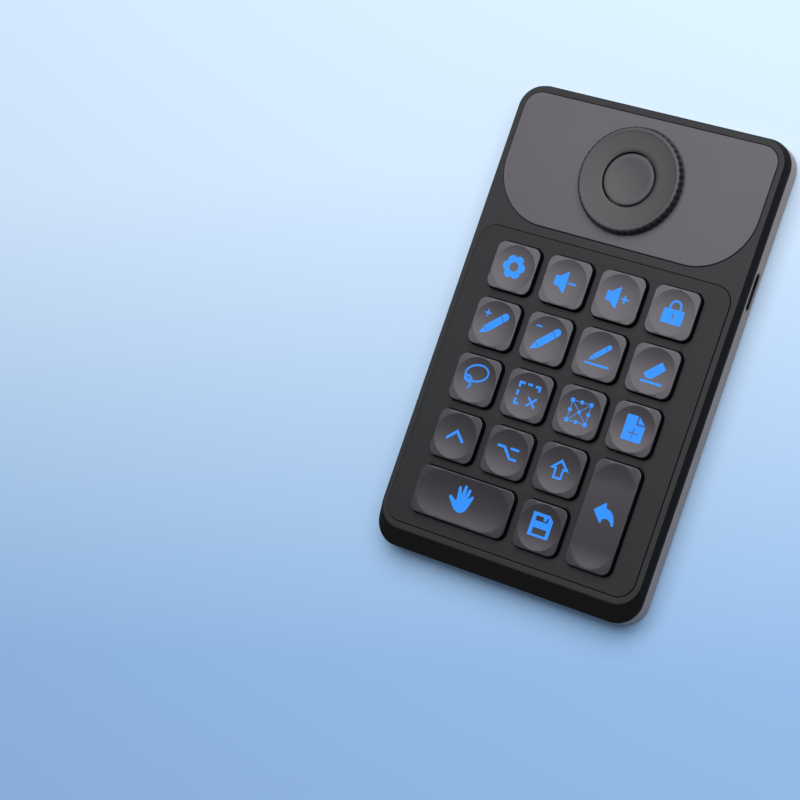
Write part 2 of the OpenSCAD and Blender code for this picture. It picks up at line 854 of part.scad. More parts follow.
module circuit_board() {
    board_front = frame_front + 0.6;
    board_back = case_l / 2 - wall_t - board_room;
    notch_l = board_back - socket_mouth_y + socket_l + 0.1;
    bay_l = battery_l + 3;
    pillar_room = tray_boss_r + 0.4;
    color("#1f4a35")
    translate([0, 0, board_z])
        linear_extrude(board_t)
            difference() {
                rounded_span(2 * board_right, board_front, board_back, frame_corner);
                // Battery bay
                translate([battery_x - battery_w, battery_y - bay_l / 2])
                    square([battery_w + bay_right - battery_x, bay_l]);
                // Room for the rear screw pillars and the socket
                for (s = [-1, 1])
                    translate([s * screw_x, screw_y]) {
                        circle(pillar_room);
                        translate([s * case_corner, case_corner])
                            square([2 * case_corner, 2 * (case_corner + pillar_room)], center = true);
                    }
                translate([0, board_back])
                    square([socket_w + 0.4, 2 * notch_l], center = true);
                for (c = BOARD_CELLS)
                    translate(cell_xy(c))
                        circle(board_screw_d / 2 + screw_clear);
                for (p = BAY_SCREWS)
                    translate(p)
                        circle(board_screw_d / 2 + screw_clear);
            }
}

// Controller, radio, memory and the battery's connector
module board_chips() {
    color("#141416") {
        for (c = CHIPS)
            translate([board_right - c[0], dial_y + c[1], board_top + c[4] / 2])
                cube([c[2], c[3], c[4]], center = true);
        translate([plug_x, lead_y - 2.5, board_top])
            cube([3, 5, 2.4]);
    }
}

// Flat pouch cell with rounded long edges and its sealed terrace
module battery() {
    color("#b9bcc0")
    translate([battery_x, battery_y, floor_z]) {
        translate([0, battery_l / 2 - terrace_l, 0])
            rotate([90, 0, 0])
                linear_extrude(battery_l - terrace_l)
                    translate([0, battery_h / 2])
                        rounded_rect(battery_w, battery_h, 1);
        translate([0, (battery_l - terrace_l) / 2 - 0.01, battery_h / 2])
            cube([battery_w - 2, terrace_l, terrace_t], center = true);
    }
}

// Two short wires from the battery's terrace to its connector
module battery_lead() {
    color("#a01414")
    for (s = [-1, 1])
        translate([plug_x - lead_l, lead_y + s * 0.5, floor_z + (battery_h + terrace_t) / 2 + lead_r])
            rotate([0, 90, 0])
                cylinder(r = lead_r, h = lead_l);
}

// Adhesive foam between the battery and the deck
module battery_pad() {
    color("#2c2c2e")
    translate([battery_x, battery_y - 1, floor_z + battery_h])
        linear_extrude(deck_z - floor_z - battery_h)
            rounded_rect(battery_w - 2 * pad_inset, battery_l - terrace_l - 2 * pad_inset, 1);
}

// Stamped steel shell of the socket with its contact tongue
module charging_socket() {
    shell_t = 0.3;
    inner_w = socket_w - 2 * shell_t;
    inner_h = socket_h - 2 * shell_t;
    color("#c4c6c8")
    translate([0, socket_mouth_y, socket_z])
        rotate([90, 0, 0]) {
            difference() {
                linear_extrude(socket_l)
                    rounded_rect(socket_w, socket_h, socket_h / 2 - 0.01);
                translate([0, 0, -1])
                    linear_extrude(socket_l)
                        rounded_rect(inner_w, inner_h, inner_h / 2 - 0.01);
            }
            translate([0, 0, (socket_l + 0.8) / 2])
                cube([6.69, 0.7, socket_l - 0.8], center = true);
        }
}

// ---- Power switch ----

module switch_body() {
    back_x = switch_face_x - switch_depth;
    window_w = slider_travel + lever_w + 2 * slider_gap;
    color("#3a3b3e")
    difference() {
        translate([back_x, slot_y - switch_l / 2, board_top])
            cube([switch_depth, switch_l, switch_h]);
        translate([back_x + 1.2, slot_y - window_w / 2, lever_z - slider_gap])
            cube([switch_depth, window_w, lever_h + 2 * slider_gap]);
    }
}

// Lever of the slide switch, held between the slider's prongs
module switch_lever() {
    color("#d8d4c8")
    translate([switch_face_x - 2.4, slider_y - lever_w / 2, lever_z])
        cube([flange_x - flange_t - switch_face_x + 2.4, lever_w, lever_h]);
}

// Thin frame pushed into the slot from inside, with a flange against the wall
module slot_bezel() {
    flange_top = slot_z + slot_h / 2 + bezel_lap;
    bezel_l = slot_l + 2 * bezel_lap;
    color("#161618")
    difference() {
        union() {
            translate([slot_wall_x - 0.01, slot_y, slot_z])
                rotate([90, 0, 90])
                    linear_extrude(wall_t - bezel_sink + 0.01)
                        slot_plan(bezel_fit);
            translate([slot_wall_x - bezel_flange_t, slot_y - bezel_l / 2, flange_foot])
                cube([bezel_flange_t, bezel_l, flange_top - flange_foot]);
        }
        translate([slot_wall_x - 2 * wall_t, slot_y, slot_z])
            rotate([90, 0, 90])
                linear_extrude(4 * wall_t)
                    slot_plan(bezel_t);
    }
}

// Ridged finger piece on a flange that covers the slot from behind
module power_slider() {
    finger_h = slot_h - 2 * bezel_t - 2 * slider_gap;
    flange_top = max(slot_z + slot_h / 2 + 0.3, lever_z + lever_h);
    color("#121214")
    difference() {
        union() {
            translate([flange_x - 0.01, slider_y, slot_z])
                rotate([90, 0, 90])
                    linear_extrude(slider_face_x - flange_x + 0.01)
                        rounded_rect(slider_l, finger_h, finger_h / 2 - 0.01);
            translate([flange_x - flange_t, slider_y - flange_l / 2, flange_foot])
                cube([flange_t, flange_l, flange_top - flange_foot]);
            for (y = [-lever_w / 2 - fork_t, lever_w / 2])
                translate([switch_face_x + 0.2, slider_y + y, lever_z])
                    cube([flange_x - flange_t - switch_face_x, fork_t, lever_h]);
        }
        for (i = [-2:2])
            translate([slider_face_x, slider_y + i * 0.8, slot_z])
                cube([0.4, 0.3, finger_h + 1], center = true);
    }
}

// ---- Dial ----

// Housing of the hollow encoder, with the fixed sleeve that guides the push button
module encoder_base() {
    color("#35363a")
    translate([0, dial_y, 0])
        difference() {
            union() {
                tube(encoder_r, guide_bore_r, board_top, board_top + encoder_base_t);
                tube(encoder_r, disc_r + 0.4, board_top, encoder_top);
                tube(encoder_r, rotor_r + dial_gap, encoder_top - encoder_lid_t, encoder_top);
                tube(guide_r, guide_bore_r, board_top, rotor_top - 0.1);
            }
            // Windows for the push button's two lugs, closed at the top
            translate([0, 0, push_top - button_travel - 0.8])
                translate([-guide_r - 0.05, -1.1, 0])
                    cube([2 * guide_r + 0.1, 2.2, button_travel + 0.95]);
        }
}

// Code disc and turning tube of the encoder
module encoder_rotor() {
    color("#c9cacc")
    translate([0, dial_y, 0]) {
        tube(rotor_r, rotor_bore_r, disc_z, rotor_top);
        tube(disc_r, rotor_bore_r, disc_z, disc_top);
    }
}

module dial() {
    r = dial_d / 2;
    ring_wall = 2;
    web_t = 1.1;
    web_z = dial_top - 0.5 - web_t;
    color("#2b2b2e")
    translate([0, dial_y, 0])
        difference() {
            rotate_extrude()
                polygon([
                    [rotor_r, hub_foot], [hub_r, hub_foot], [hub_r, web_z],
                    [r - ring_wall, web_z], [r - ring_wall, dial_foot], [r - 0.2, dial_foot],
                    [r, dial_foot + 0.2], [r, dial_top - 0.8], [r - 0.24, dial_top - 0.24],
                    [r - 0.8, dial_top], [r - 1.6, dial_top], [dial_bore_r + 1.2, dial_top - 0.45],
                    [dial_bore_r + 0.3, dial_top - 0.4], [dial_bore_r, dial_top - 0.6],
                    [dial_bore_r, rotor_top], [rotor_r, rotor_top]
                ]);
            for (i = [0:flutes - 1])
                rotate([0, 0, 360 * i / flutes])
                    translate([r + flute_r * 0.45, 0, dial_foot - 1])
                        cylinder(r = flute_r, h = dial_top - dial_foot - 0.2, $fn = 24);
        }
}

module dial_button() {
    skirt_wall = 1.1;
    lug_z = push_top;
    color("#38383b")
    translate([0, dial_y, 0]) {
        difference() {
            rotate_extrude()
                polygon([
                    [0, button_head_z], [button_r, button_head_z], [button_r, button_top - 0.4],
                    [button_r - 0.4, button_top], [button_r - 1.2, button_top], [0, button_top - 0.35]
                ]);
            translate([0, 0, button_head_z - 0.01])
                tube(plunger_r - skirt_wall, 2.2, 0, 0.5);
        }
        tube(plunger_r, plunger_r - skirt_wall, lug_z - 0.6, button_head_z + 0.01);
        translate([0, 0, push_top])
            cylinder(r = 1.9, h = button_head_z - push_top + 0.01);
        for (s = [-1, 1])
            translate([s * (plunger_r + 0.3), 0, lug_z - 0.2])
                cube([1, 1.8, 0.6], center = true);
    }
}

module push_switch() {
    color("#27282b")
    translate([0, dial_y, board_top])
        difference() {
            translate([0, 0, push_body_h / 2])
                cube([6, 6, push_body_h], center = true);
            translate([0, 0, 0.5])
                cylinder(r = push_plunger_r + sleeve_fit, h = push_body_h);
        }
}

module switch_plunger() {
    color("#d8d4c8")
    translate([0, dial_y, board_top + 0.5 + 0.2 + button_travel])
        cylinder(r = push_plunger_r, h = push_top - board_top - 0.7 - button_travel);
}

// ---- Fasteners and feet ----

// Pan-head screw with its head down, the underside of the head at z = 0
module screw(d, head_r, head_t, length, drive_r) {
    difference() {
        union() {
            translate([0, 0, -head_t])
                cylinder(r1 = head_r * 0.85, r2 = head_r, h = head_t);
            translate([0, 0, -0.01])
                cylinder(d = d, h = length);
        }
        translate([0, 0, -head_t - 0.01])
            for (turn = [0, 90])
                rotate([0, 0, turn])
                    cube([2 * drive_r, drive_r * 0.5, head_t], center = true);
    }
}

module case_screws() {
    color("#4a4b4f")
    for (p = SCREWS)
        translate([p[0], p[1], head_seat_z])
            screw(case_screw_d, head_d / 2, head_h, recess_z - head_seat_z - 0.8, head_d * 0.28);
}

module board_screws() {
    color("#c0c2c4")
    for (p = concat([for (c = BOARD_CELLS) cell_xy(c)], BAY_SCREWS))
        translate([p[0], p[1], board_z])
            screw(board_screw_d, board_head_r, board_head_h, board_t + board_screw_reach, board_head_r * 0.5);
}

module foot_strips() {
    color("#222224")
    for (s = [-1, 1])
        translate([0, s * screw_y, 0])
            difference() {
                linear_extrude(foot_h + foot_recess)
                    foot_outline(0);
                // Shallow tread grooves
                for (g = [-1, 0, 1])
                    translate([0, g * foot_w / 4, 0])
                        cube([2 * screw_x, 0.5, 0.4], center = true);
            }
}

bottom_case();
top_case();
key_plate();
dial_panel();
guide_frame();
dome_mat();
circuit_board();
board_chips();
battery();
battery_lead();
battery_pad();
charging_socket();
switch_body();
switch_lever();
slot_bezel();
power_slider();
encoder_base();
encoder_rotor();
dial();
dial_button();
push_switch();
switch_plunger();
case_screws();
board_screws();
foot_strips();
for (k = KEYS)
    keycap(k);
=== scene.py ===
from math import atan2, cos, hypot, pi, radians, sin, sqrt

import bmesh
import bpy
from mathutils import Matrix, Vector
from mathutils.geometry import tessellate_polygon


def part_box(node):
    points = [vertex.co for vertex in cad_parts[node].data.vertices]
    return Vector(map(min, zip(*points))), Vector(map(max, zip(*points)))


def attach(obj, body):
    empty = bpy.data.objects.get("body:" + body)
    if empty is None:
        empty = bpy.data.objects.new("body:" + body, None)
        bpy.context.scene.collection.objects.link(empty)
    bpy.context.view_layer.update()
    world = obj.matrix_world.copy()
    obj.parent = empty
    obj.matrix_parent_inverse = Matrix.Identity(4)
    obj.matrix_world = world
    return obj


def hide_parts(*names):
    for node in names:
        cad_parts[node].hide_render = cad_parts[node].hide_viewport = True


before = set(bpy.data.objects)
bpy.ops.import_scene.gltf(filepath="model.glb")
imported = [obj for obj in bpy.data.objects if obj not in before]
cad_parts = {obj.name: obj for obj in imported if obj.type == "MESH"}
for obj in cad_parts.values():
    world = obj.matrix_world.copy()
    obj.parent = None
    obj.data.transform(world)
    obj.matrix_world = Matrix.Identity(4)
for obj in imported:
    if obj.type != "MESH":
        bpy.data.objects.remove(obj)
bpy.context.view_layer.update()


# ---- Bottom case ----
# A shallow tray moulded in light grey ABS. Its floor and walls come from one tool with a fine
# spark-eroded finish, which gives a soft satin surface with no gloss spots. Four screws under
# the rubber feet pull it against the top case.

# The scene's unit is the metre
mm = 0.001

tray_low, tray_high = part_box("bottom_case")
case_w = tray_high.x - tray_low.x
case_l = tray_high.y - tray_low.y
case_corner = 8 * mm
wall = 1.5 * mm
floor_t = 1.3 * mm
# The tray's inner lip, out of sight inside the cover, stands above the parting line
lip_h = 0.7 * mm
parting_z = tray_high.z - lip_h
# The shells meet in a fine shadow line with a small bevel on each side
parting_bevel = 0.12 * mm
base_edge = 0.3 * mm


def outline(width, front, back, radius, steps=16):
    """Rounded rectangle from front to back, counter-clockwise from the right side."""
    points = []
    for corner, (sx, y) in enumerate([(1, back), (-1, back), (-1, front), (1, front)]):
        centre = Vector((sx * (width / 2 - radius), y - radius if y == back else y + radius))
        for i in range(steps + 1):
            turn = pi / 2 * (corner + i / steps)
            points.append(centre + radius * Vector((cos(turn), sin(turn))))
    return points


def level(points, z):
    """Points of a flat outline, raised to a height."""
    return [Vector((p[0], p[1], z)) for p in points]


def skin(mesh, rings, creases=(), ends=True, closed=False):
    """Adds faces between rings of points to a bmesh. Edges along the rings listed in creases
    stay sharp. A closed skin joins its last ring to its first."""
    layers = [[mesh.verts.new(p) for p in ring] for ring in rings]
    count = len(layers[0])
    for low, high in zip(layers, layers[1:] + ([layers[0]] if closed else [])):
        for i in range(count):
            j = (i + 1) % count
            mesh.faces.new((low[i], low[j], high[j], high[i]))
    if ends:
        mesh.faces.new(layers[0][::-1])
        mesh.faces.new(layers[-1])
    for k in creases:
        for i in range(count):
            mesh.edges.get((layers[k][i], layers[k][(i + 1) % count])).smooth = False
    return layers


def rounding(radius, steps):
    """Steps up a quarter-round edge, as pairs of how far in and how far below its top."""
    turns = [pi / 2 * i / steps for i in range(steps + 1)]
    return [(radius * (1 - cos(turn)), radius * (1 - sin(turn))) for turn in turns]


tray = bmesh.new()
section = [(below, tray_low.z + inward) for inward, below in rounding(base_edge, 6)]
section += [(0, parting_z - parting_bevel), (parting_bevel, parting_z), (wall, parting_z),
            (wall, tray_low.z + floor_t)]
rings = []
for inset, z in section:
    plan = outline(case_w - 2 * inset, -case_l / 2 + inset, case_l / 2 - inset, case_corner - inset)
    rings.append(level(plan, z))
skin(tray, rings)

foot_low, foot_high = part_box("foot_strips")
foot_w = 8 * mm
foot_margin = 0.1 * mm
# The recess ends a hair short of half round, so that no two points of it fall together
recess_corner = foot_w / 2 + 0.99 * foot_margin


def prism(mesh, points, low, high):
    """Adds a straight-sided solid over a flat outline."""
    skin(mesh, [level(points, low), level(points, high)])


cutters = bmesh.new()
for front in (foot_low.y, foot_high.y - foot_w):
    prism(cutters, outline(foot_high.x - foot_low.x + 2 * foot_margin, front - foot_margin,
                           front + foot_w + foot_margin, recess_corner),
          tray_low.z - mm, foot_high.z)

# Slot of the power switch and opening of the charging socket, each with a rounded outer edge
bezel_low, bezel_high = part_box("slot_bezel")
slot_l = 10.4 * mm
slot_h = 1.9 * mm
slot_z = 3.4 * mm
slot_flare = 0.06 * mm
# The lip of the slot's frame covers this much of the wall all round
slot_lip = 0.45 * mm
rightward = Vector((1, 0, 0))
slot_centre = Vector((case_w / 2, (bezel_low.y + bezel_high.y) / 2, slot_z))
socket_low, socket_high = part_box("charging_socket")
socket_play = 0.3 * mm
socket_flare = 0.2 * mm


def wall_loop(width, height, grow, centre, outward, along):
    """Loop with round ends in a wall, grown all round and moved outward from the wall's face."""
    side = Vector((-outward.y, outward.x, 0))
    # Its ends too are a hair short of half round
    corner = height / 2 + 0.98 * grow - 0.01 * mm
    points = outline(width + 2 * grow, -height / 2 - grow, height / 2 + grow, corner)
    return [centre + outward * along + side * p.x + Vector((0, 0, p.y)) for p in points]


def flared_opening(mesh, width, height, centre, outward, edge):
    """Adds a cutter that goes through a wall and flares at the wall's face."""
    loops = [(0, -2 * wall)] + [(inward, -below) for inward, below in rounding(edge, 5)] + [(edge, mm)]
    skin(mesh, [wall_loop(width, height, grow, centre, outward, along) for grow, along in loops])


flared_opening(cutters, slot_l + 2 * slot_lip, slot_h + 2 * slot_lip, slot_centre, rightward, slot_flare)
socket_mouth = (socket_high.x - socket_low.x + socket_play, socket_high.z - socket_low.z + socket_play,
                Vector((0, case_l / 2, (socket_low.z + socket_high.z) / 2)), Vector((0, 1, 0)),
                socket_flare)
flared_opening(cutters, *socket_mouth)


def cut(mesh, cutters):
    """Takes the solids in another bmesh away from a bmesh, and returns the result."""
    pair = []
    for source in (mesh, cutters):
        bmesh.ops.recalc_face_normals(source, faces=source.faces)
        data = bpy.data.meshes.new("cut")
        source.to_mesh(data)
        source.free()
        pair.append(bpy.data.objects.new("cut", data))
        bpy.context.scene.collection.objects.link(pair[-1])
    change = pair[0].modifiers.new("cut", "BOOLEAN")
    change.object = pair[1]
    change.operation = "DIFFERENCE"
    change.solver = "EXACT"
    bpy.context.view_layer.update()
    result = bmesh.new()
    result.from_object(pair[0], bpy.context.evaluated_depsgraph_get())
    for used in pair:
        bpy.data.objects.remove(used)
    return result


tray = cut(tray, cutters)


def colour(hex_value):
    """Linear colour of an sRGB hex value such as "998981"."""
    channels = [int(hex_value[i:i + 2], 16) / 255 for i in (0, 2, 4)]
    return [c / 12.92 if c <= 0.04045 else ((c + 0.055) / 1.055) ** 2.4 for c in channels] + [1]


def add_node(material, kind, values=None, links=None, **settings):
    """Adds a shader node, with its settings, its sockets' values and the links into it."""
    made = material.node_tree.nodes.new(kind)
    for name, value in settings.items():
        setattr(made, name, value)
    for socket, value in (values or {}).items():
        made.inputs[socket].default_value = value
    for socket, source in (links or {}).items():
        material.node_tree.links.new(source, made.inputs[socket])
    return made


def set_shader(material, **values):
    """Sets plain values on sockets of the material's Principled shader."""
    shader = material.node_tree.nodes["Principled BSDF"]
    for socket, value in values.items():
        shader.inputs[socket.replace("_", " ")].default_value = value


def new_material(name, **values):
    """A material with only a Principled shader, and plain values on its sockets."""
    material = bpy.data.materials.new(name)
    material.use_nodes = True
    set_shader(material, **values)
    return material


def feed(material, **sources):
    """Links node outputs to sockets of the material's Principled shader."""
    shader = material.node_tree.nodes["Principled BSDF"]
    for socket, source in sources.items():
        material.node_tree.links.new(source, shader.inputs[socket.replace("_", " ")])


def moulded_plastic(name, light, dark, roughness, grit=0.35 * mm, relief=0.006 * mm, shine=0.5):
    """Moulded plastic with a spark-eroded texture. The real grit is about 0.05 mm and is drawn
    coarser so that it shows. The colour drifts a little from light to dark over the piece."""
    drift = 22 * mm
    material = new_material(name, Specular_IOR_Level=shine)
    place = add_node(material, "ShaderNodeTexCoord").outputs["Object"]
    grain = add_node(material, "ShaderNodeTexNoise", {"Scale": 1 / grit, "Detail": 3, "Roughness": 0.6},
                     {"Vector": place})
    cloud = add_node(material, "ShaderNodeTexNoise", {"Scale": 1 / drift, "Detail": 2},
                     {"Vector": place})
    tint = add_node(material, "ShaderNodeMix", {6: colour(dark), 7: colour(light)},
                    {0: cloud.outputs["Fac"]}, data_type="RGBA")
    satin = add_node(material, "ShaderNodeMapRange",
                     {"To Min": roughness - 0.04, "To Max": roughness + 0.06},
                     {"Value": grain.outputs["Fac"]})
    bump = add_node(material, "ShaderNodeBump", {"Strength": 0.5, "Distance": relief},
                    {"Height": grain.outputs["Fac"]})
    feed(material, Base_Color=tint.outputs[2], Roughness=satin.outputs["Result"],
         Normal=bump.outputs["Normal"])
    return material


grey_plastic = moulded_plastic("grey moulded ABS", "998981", "8f8079", 0.45)


def piece(name, mesh, material, body, replaced=(), sharp=28):
    """Turns a bmesh into a piece that rides on a body. Edges above sharp degrees stay sharp."""
    bmesh.ops.recalc_face_normals(mesh, faces=mesh.faces)
    data = bpy.data.meshes.new(name)
    mesh.to_mesh(data)
    mesh.free()
    kept = [e.use_edge_sharp for e in data.edges]
    data.shade_smooth()
    data.set_sharp_from_angle(angle=radians(sharp))
    for edge, was_sharp in zip(data.edges, kept):
        edge.use_edge_sharp = edge.use_edge_sharp or was_sharp
    for layer in material if isinstance(material, list) else [material]:
        data.materials.append(layer)
    made = bpy.data.objects.new(name, data)
    bpy.context.scene.collection.objects.link(made)
    weighted = made.modifiers.new("flat faces stay flat", "WEIGHTED_NORMAL")
    weighted.keep_sharp = True
    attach(made, body)
    if replaced:
        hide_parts(*replaced)
    return made


piece("bottom_case_shell", tray, grey_plastic, "case", ["bottom_case"])


# ---- Top case ----
# The cover is black ABS with the same spark-eroded finish. Its front wall slopes and its
# other walls are nearly upright, and the rim rolls over to a flat border round two recesses
# that take the inset plates. Openings in its deck let the keys and the dial's hub through.

rim_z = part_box("top_case")[1].z
plate_low, plate_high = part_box("key_plate")
panel_low, panel_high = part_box("dial_panel")
# How far the walls lean in from the parting line to the rim
side_run = 0.8 * mm
front_run = 5.35 * mm
rim_corner = 7.35 * mm
# Height and width of the rolled edge round the rim
roll_h = 0.3 * mm
roll_in = 0.2 * mm
# Height of the upright foot of the walls, and the share of the slope that bends into it
cover_foot = 1.4 * mm
knee = 0.1
front_wall = 2 * mm
deck_t = 1.5 * mm
deck_top = plate_low.z
deck_z = deck_top - deck_t
# Gap between each inset plate and its recess, their corners, and the panel's two wide ones
seam = 0.2 * mm
inset_corner = 5.5 * mm
panel_corner = 18 * mm
recess_edge = 0.12 * mm
# A fine rounded edge is drawn in two steps, over a point this share of it from both faces
edge_share = 0.3


def cover_ring(out, z, out_front=None):
    """Plan of the cover's outside. out runs from 1 at the parting line to 0 at the rim."""
    out_front = out if out_front is None else out_front
    front = -case_l / 2 + front_run * (1 - out_front)
    back = case_l / 2 - side_run * (1 - out)
    corner = rim_corner + (case_corner - rim_corner) * out
    return level(outline(case_w - 2 * side_run * (1 - out), front, back, corner), z)


cover = bmesh.new()
slope_h = rim_z - parting_z - cover_foot
roll_start = roll_h / slope_h
inside = outline(case_w - 2 * wall, -case_l / 2 + front_wall, case_l / 2 - wall, case_corner - wall)
rings = [level(inside, deck_z), level(inside, parting_z)]
rings.append(cover_ring(1 - parting_bevel / side_run, parting_z, 1 - parting_bevel / front_run))
rings.append(cover_ring(1, parting_z + parting_bevel))
for i in range(6):
    t = i / 5
    drop = knee * slope_h * ((1 - t) ** 2 - t ** 2)
    rings.append(cover_ring(1 - knee * t ** 2, rim_z - slope_h - drop))
for i in range(9):
    t = i / 8
    bend = (1 - t) ** 2, 2 * t * (1 - t), t ** 2
    out_side = bend[0] * roll_start - bend[2] * roll_in / side_run
    out_front = bend[0] * roll_start - bend[2] * roll_in / front_run
    rings.append(cover_ring(out_side, rim_z - roll_h * bend[0], out_front))
skin(cover, rings)


def arc(x, y, radius, start, end, steps):
    """Points on an arc, with angles in degrees."""
    turns = [radians(start + (end - start) * i / steps) for i in range(steps + 1)]
    return [(x + radius * cos(t), y + radius * sin(t)) for t in turns]


def circle(x, y, radius, steps):
    """Points on a full circle."""
    return arc(x, y, radius, 0, 360 - 360 / steps, steps - 1)


def recess(mesh, shape):
    """Adds a recess cutter whose top edge is slightly rounded. shape(grow) gives its outline."""
    steps = [(0, deck_top), (0, rim_z - recess_edge),
             (edge_share * recess_edge, rim_z - edge_share * recess_edge),
             (recess_edge, rim_z), (recess_edge, rim_z + mm)]
    skin(mesh, [level(shape(grow), z) for grow, z in steps])


def plate_shape(grow):
    """Outline of the recess for the key plate."""
    out = seam + grow
    return outline(plate_high.x - plate_low.x + 2 * out, plate_low.y - out, plate_high.y + out,
                   inset_corner + grow)


def panel_shape(grow):
    """Outline of the recess for the dial panel, whose near corners are wide."""
    half = (panel_high.x - panel_low.x) / 2 + seam + grow
    front, back = panel_low.y - seam - grow, panel_high.y + seam + grow
    corners = [(1, back, inset_corner), (-1, back, inset_corner),
               (-1, front, panel_corner), (1, front, panel_corner)]
    points = []
    for k, (sx, y, radius) in enumerate(corners):
        radius += grow
        centre = sx * (half - radius), y - radius if y == back else y + radius
        points += arc(*centre, radius, 90 * k, 90 * (k + 1), 24)
    return points


cutters = bmesh.new()
recess(cutters, plate_shape)
recess(cutters, panel_shape)
cover = cut(cover, cutters)

key_names = sorted(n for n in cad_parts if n.startswith("keycap_"))
key_gap = 0.28 * mm
deck_gap = 0.1 * mm
hub_low, hub_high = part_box("encoder_rotor")
dial_y = (hub_low.y + hub_high.y) / 2
hub_hole = 10.7 * mm
cap_corner = 2.6 * mm
draft = 0.08 * mm


def key_opening(key, extra):
    """Outline of the opening round a keycap."""
    low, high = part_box(key)
    x = (low.x + high.x) / 2
    out = key_gap + extra
    shape = outline(high.x - low.x + 2 * out, low.y - out, high.y + out, cap_corner + draft + out, 10)
    return [p + Vector((x, 0)) for p in shape]


cutters = bmesh.new()
for key in key_names:
    prism(cutters, key_opening(key, deck_gap), deck_z - mm, deck_top + mm)
prism(cutters, circle(0, dial_y, hub_hole, 72), deck_z - mm, deck_top + mm)
flared_opening(cutters, *socket_mouth)
cover = cut(cover, cutters)
# One black ABS is drawn in two tones. Painted shade makes the walls deep black and dull, and
# painted light gives the flat rim's upward faces a paler, matt face.
for face in cover.faces:
    face.material_index = int(face.normal.z > 0.9 and face.calc_center_median().z > rim_z - 0.1 * mm)
shaded_black_plastic = moulded_plastic("black moulded ABS", "1a1817", "171514", 0.55, shine=0.05)
lit_rim_plastic = moulded_plastic("matt rim of the black ABS", "272729", "242426", 0.55, shine=0.3)
piece("top_case_shell", cover, [shaded_black_plastic, lit_rim_plastic], "case", ["top_case"])


# ---- Key plate ----
# A thin ABS plate with eighteen openings, pressed into the near recess. It is moulded in
# charcoal with a slightly deeper texture than the case, which keeps it matt from all sides, and
# it stands just proud of the rim.

def slab(mesh, shape, low, high, edge, holes=()):
    """Adds a plate with a rounded top edge, from outlines given as functions of how far they grow."""
    border = [(0, low), (0, high - edge), (-edge_share * edge, high - edge_share * edge), (-edge, high)]
    layers = []
    for sign, form in [(1, shape)] + [(-1, hole) for hole in holes]:
        rings = [level(form(sign * grow), z) for grow, z in border]
        layers.append(skin(mesh, rings if sign > 0 else rings[::-1], ends=False))
    for end in (0, -1):
        loops = [layers[0][end]] + [hole[-1 - end] for hole in layers[1:]]
        corners = [v for loop in loops for v in loop]
        for triangle in tessellate_polygon([[v.co for v in loop] for loop in loops]):
            mesh.faces.new([corners[i] for i in triangle])


plate = bmesh.new()
plate_edge = 0.1 * mm
plate_top = rim_z + 0.3 * mm
slab(plate, lambda grow: plate_shape(grow - seam), plate_low.z, plate_top, plate_edge,
     [lambda grow, key=key: key_opening(key, grow) for key in key_names])
charcoal_plastic = moulded_plastic("charcoal moulded ABS", "222224", "1f1f21", 0.55, relief=0.009 * mm,
                                   shine=0.3)
piece("key_plate_sheet", plate, charcoal_plastic, "case", ["key_plate"])


# ---- Dial panel ----
# A second ABS plate, pressed into the far recess, with a round well for the dial. It is sprayed
# with a lighter grey paint, which fills the grit and gives it an even, silky look.

panel = bmesh.new()
dial_low, dial_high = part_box("dial")
dial_r = (dial_high.x - dial_low.x) / 2
dial_gap = 0.3 * mm
well_r = dial_r + dial_gap
well_depth = 0.6 * mm
well_z = panel_high.z - well_depth
panel_edge = 0.2 * mm
slab(panel, lambda grow: panel_shape(grow - seam), panel_low.z, panel_high.z, panel_edge)
cutters = bmesh.new()
section = [(hub_hole, panel_low.z - mm), (hub_hole, well_z), (well_r, well_z),
           (well_r, panel_high.z - panel_edge),
           (well_r + edge_share * panel_edge, panel_high.z - edge_share * panel_edge),
           (well_r + panel_edge, panel_high.z), (well_r + panel_edge, panel_high.z + mm)]
skin(cutters, [level(circle(0, dial_y, radius, 144), z) for radius, z in section])
panel = cut(panel, cutters)
painted_grey = moulded_plastic("silk-painted ABS", "4f4b52", "4a464d", 0.46, relief=0.004 * mm)
piece("dial_panel_plate", panel, painted_grey, "case", ["dial_panel"])


# ---- Keycaps ----
# Each cap is moulded in ABS with a hollow underside, a cross-shaped stem and two catches. Its top
# is satin grey, and its sides and underside are drawn near-black as painted shade. Single caps
# have a round dish that nearly reaches their sides. The two double caps have a long dish, and two
# posts beside the stem.

cap_edge = 0.25 * mm
cap_wall = 1 * mm
cap_roof = 1.1 * mm
dish_r = 6.8 * mm
dish_depth = 0.28 * mm
long_dish_depth = 0.25 * mm
skirt_dip = 0.5 * mm
skirt_z = rim_z - skirt_dip
skirt_edge = 0.1 * mm
inner_edge = 0.4 * mm
stem_w = 5 * mm
stem_arm = 2.2 * mm
post_r = 1.5 * mm
# Stem and posts reach this far into the roof
root = 0.1 * mm
catch_reach = 0.6 * mm
catch_w = 1.8 * mm
# The catches start this far above the stem's foot
catch_gap = 0.05 * mm
catch_h = 0.7 * mm


def dish_z(x, y, reach, top):
    """Height of a cap's top at a place. reach is the half length of the cap's middle, along x."""
    depth = long_dish_depth if reach else dish_depth
    ball_r = (dish_r ** 2 + depth ** 2) / (2 * depth)
    away = min(hypot(max(abs(x) - reach, 0), y), dish_r)
    return top - sqrt(ball_r ** 2 - away ** 2) + sqrt(ball_r ** 2 - dish_r ** 2)


def square_reach(turn, half, corner):
    """Distance from the centre of a rounded square to its side, in direction turn."""
    c, s = abs(cos(turn)), abs(sin(turn))
    flat = half / max(c, s)
    if min(c, s) * flat <= half - corner:
        return flat
    along = (half - corner) * (c + s)
    return along + sqrt(along ** 2 - 2 * (half - corner) ** 2 + corner ** 2)


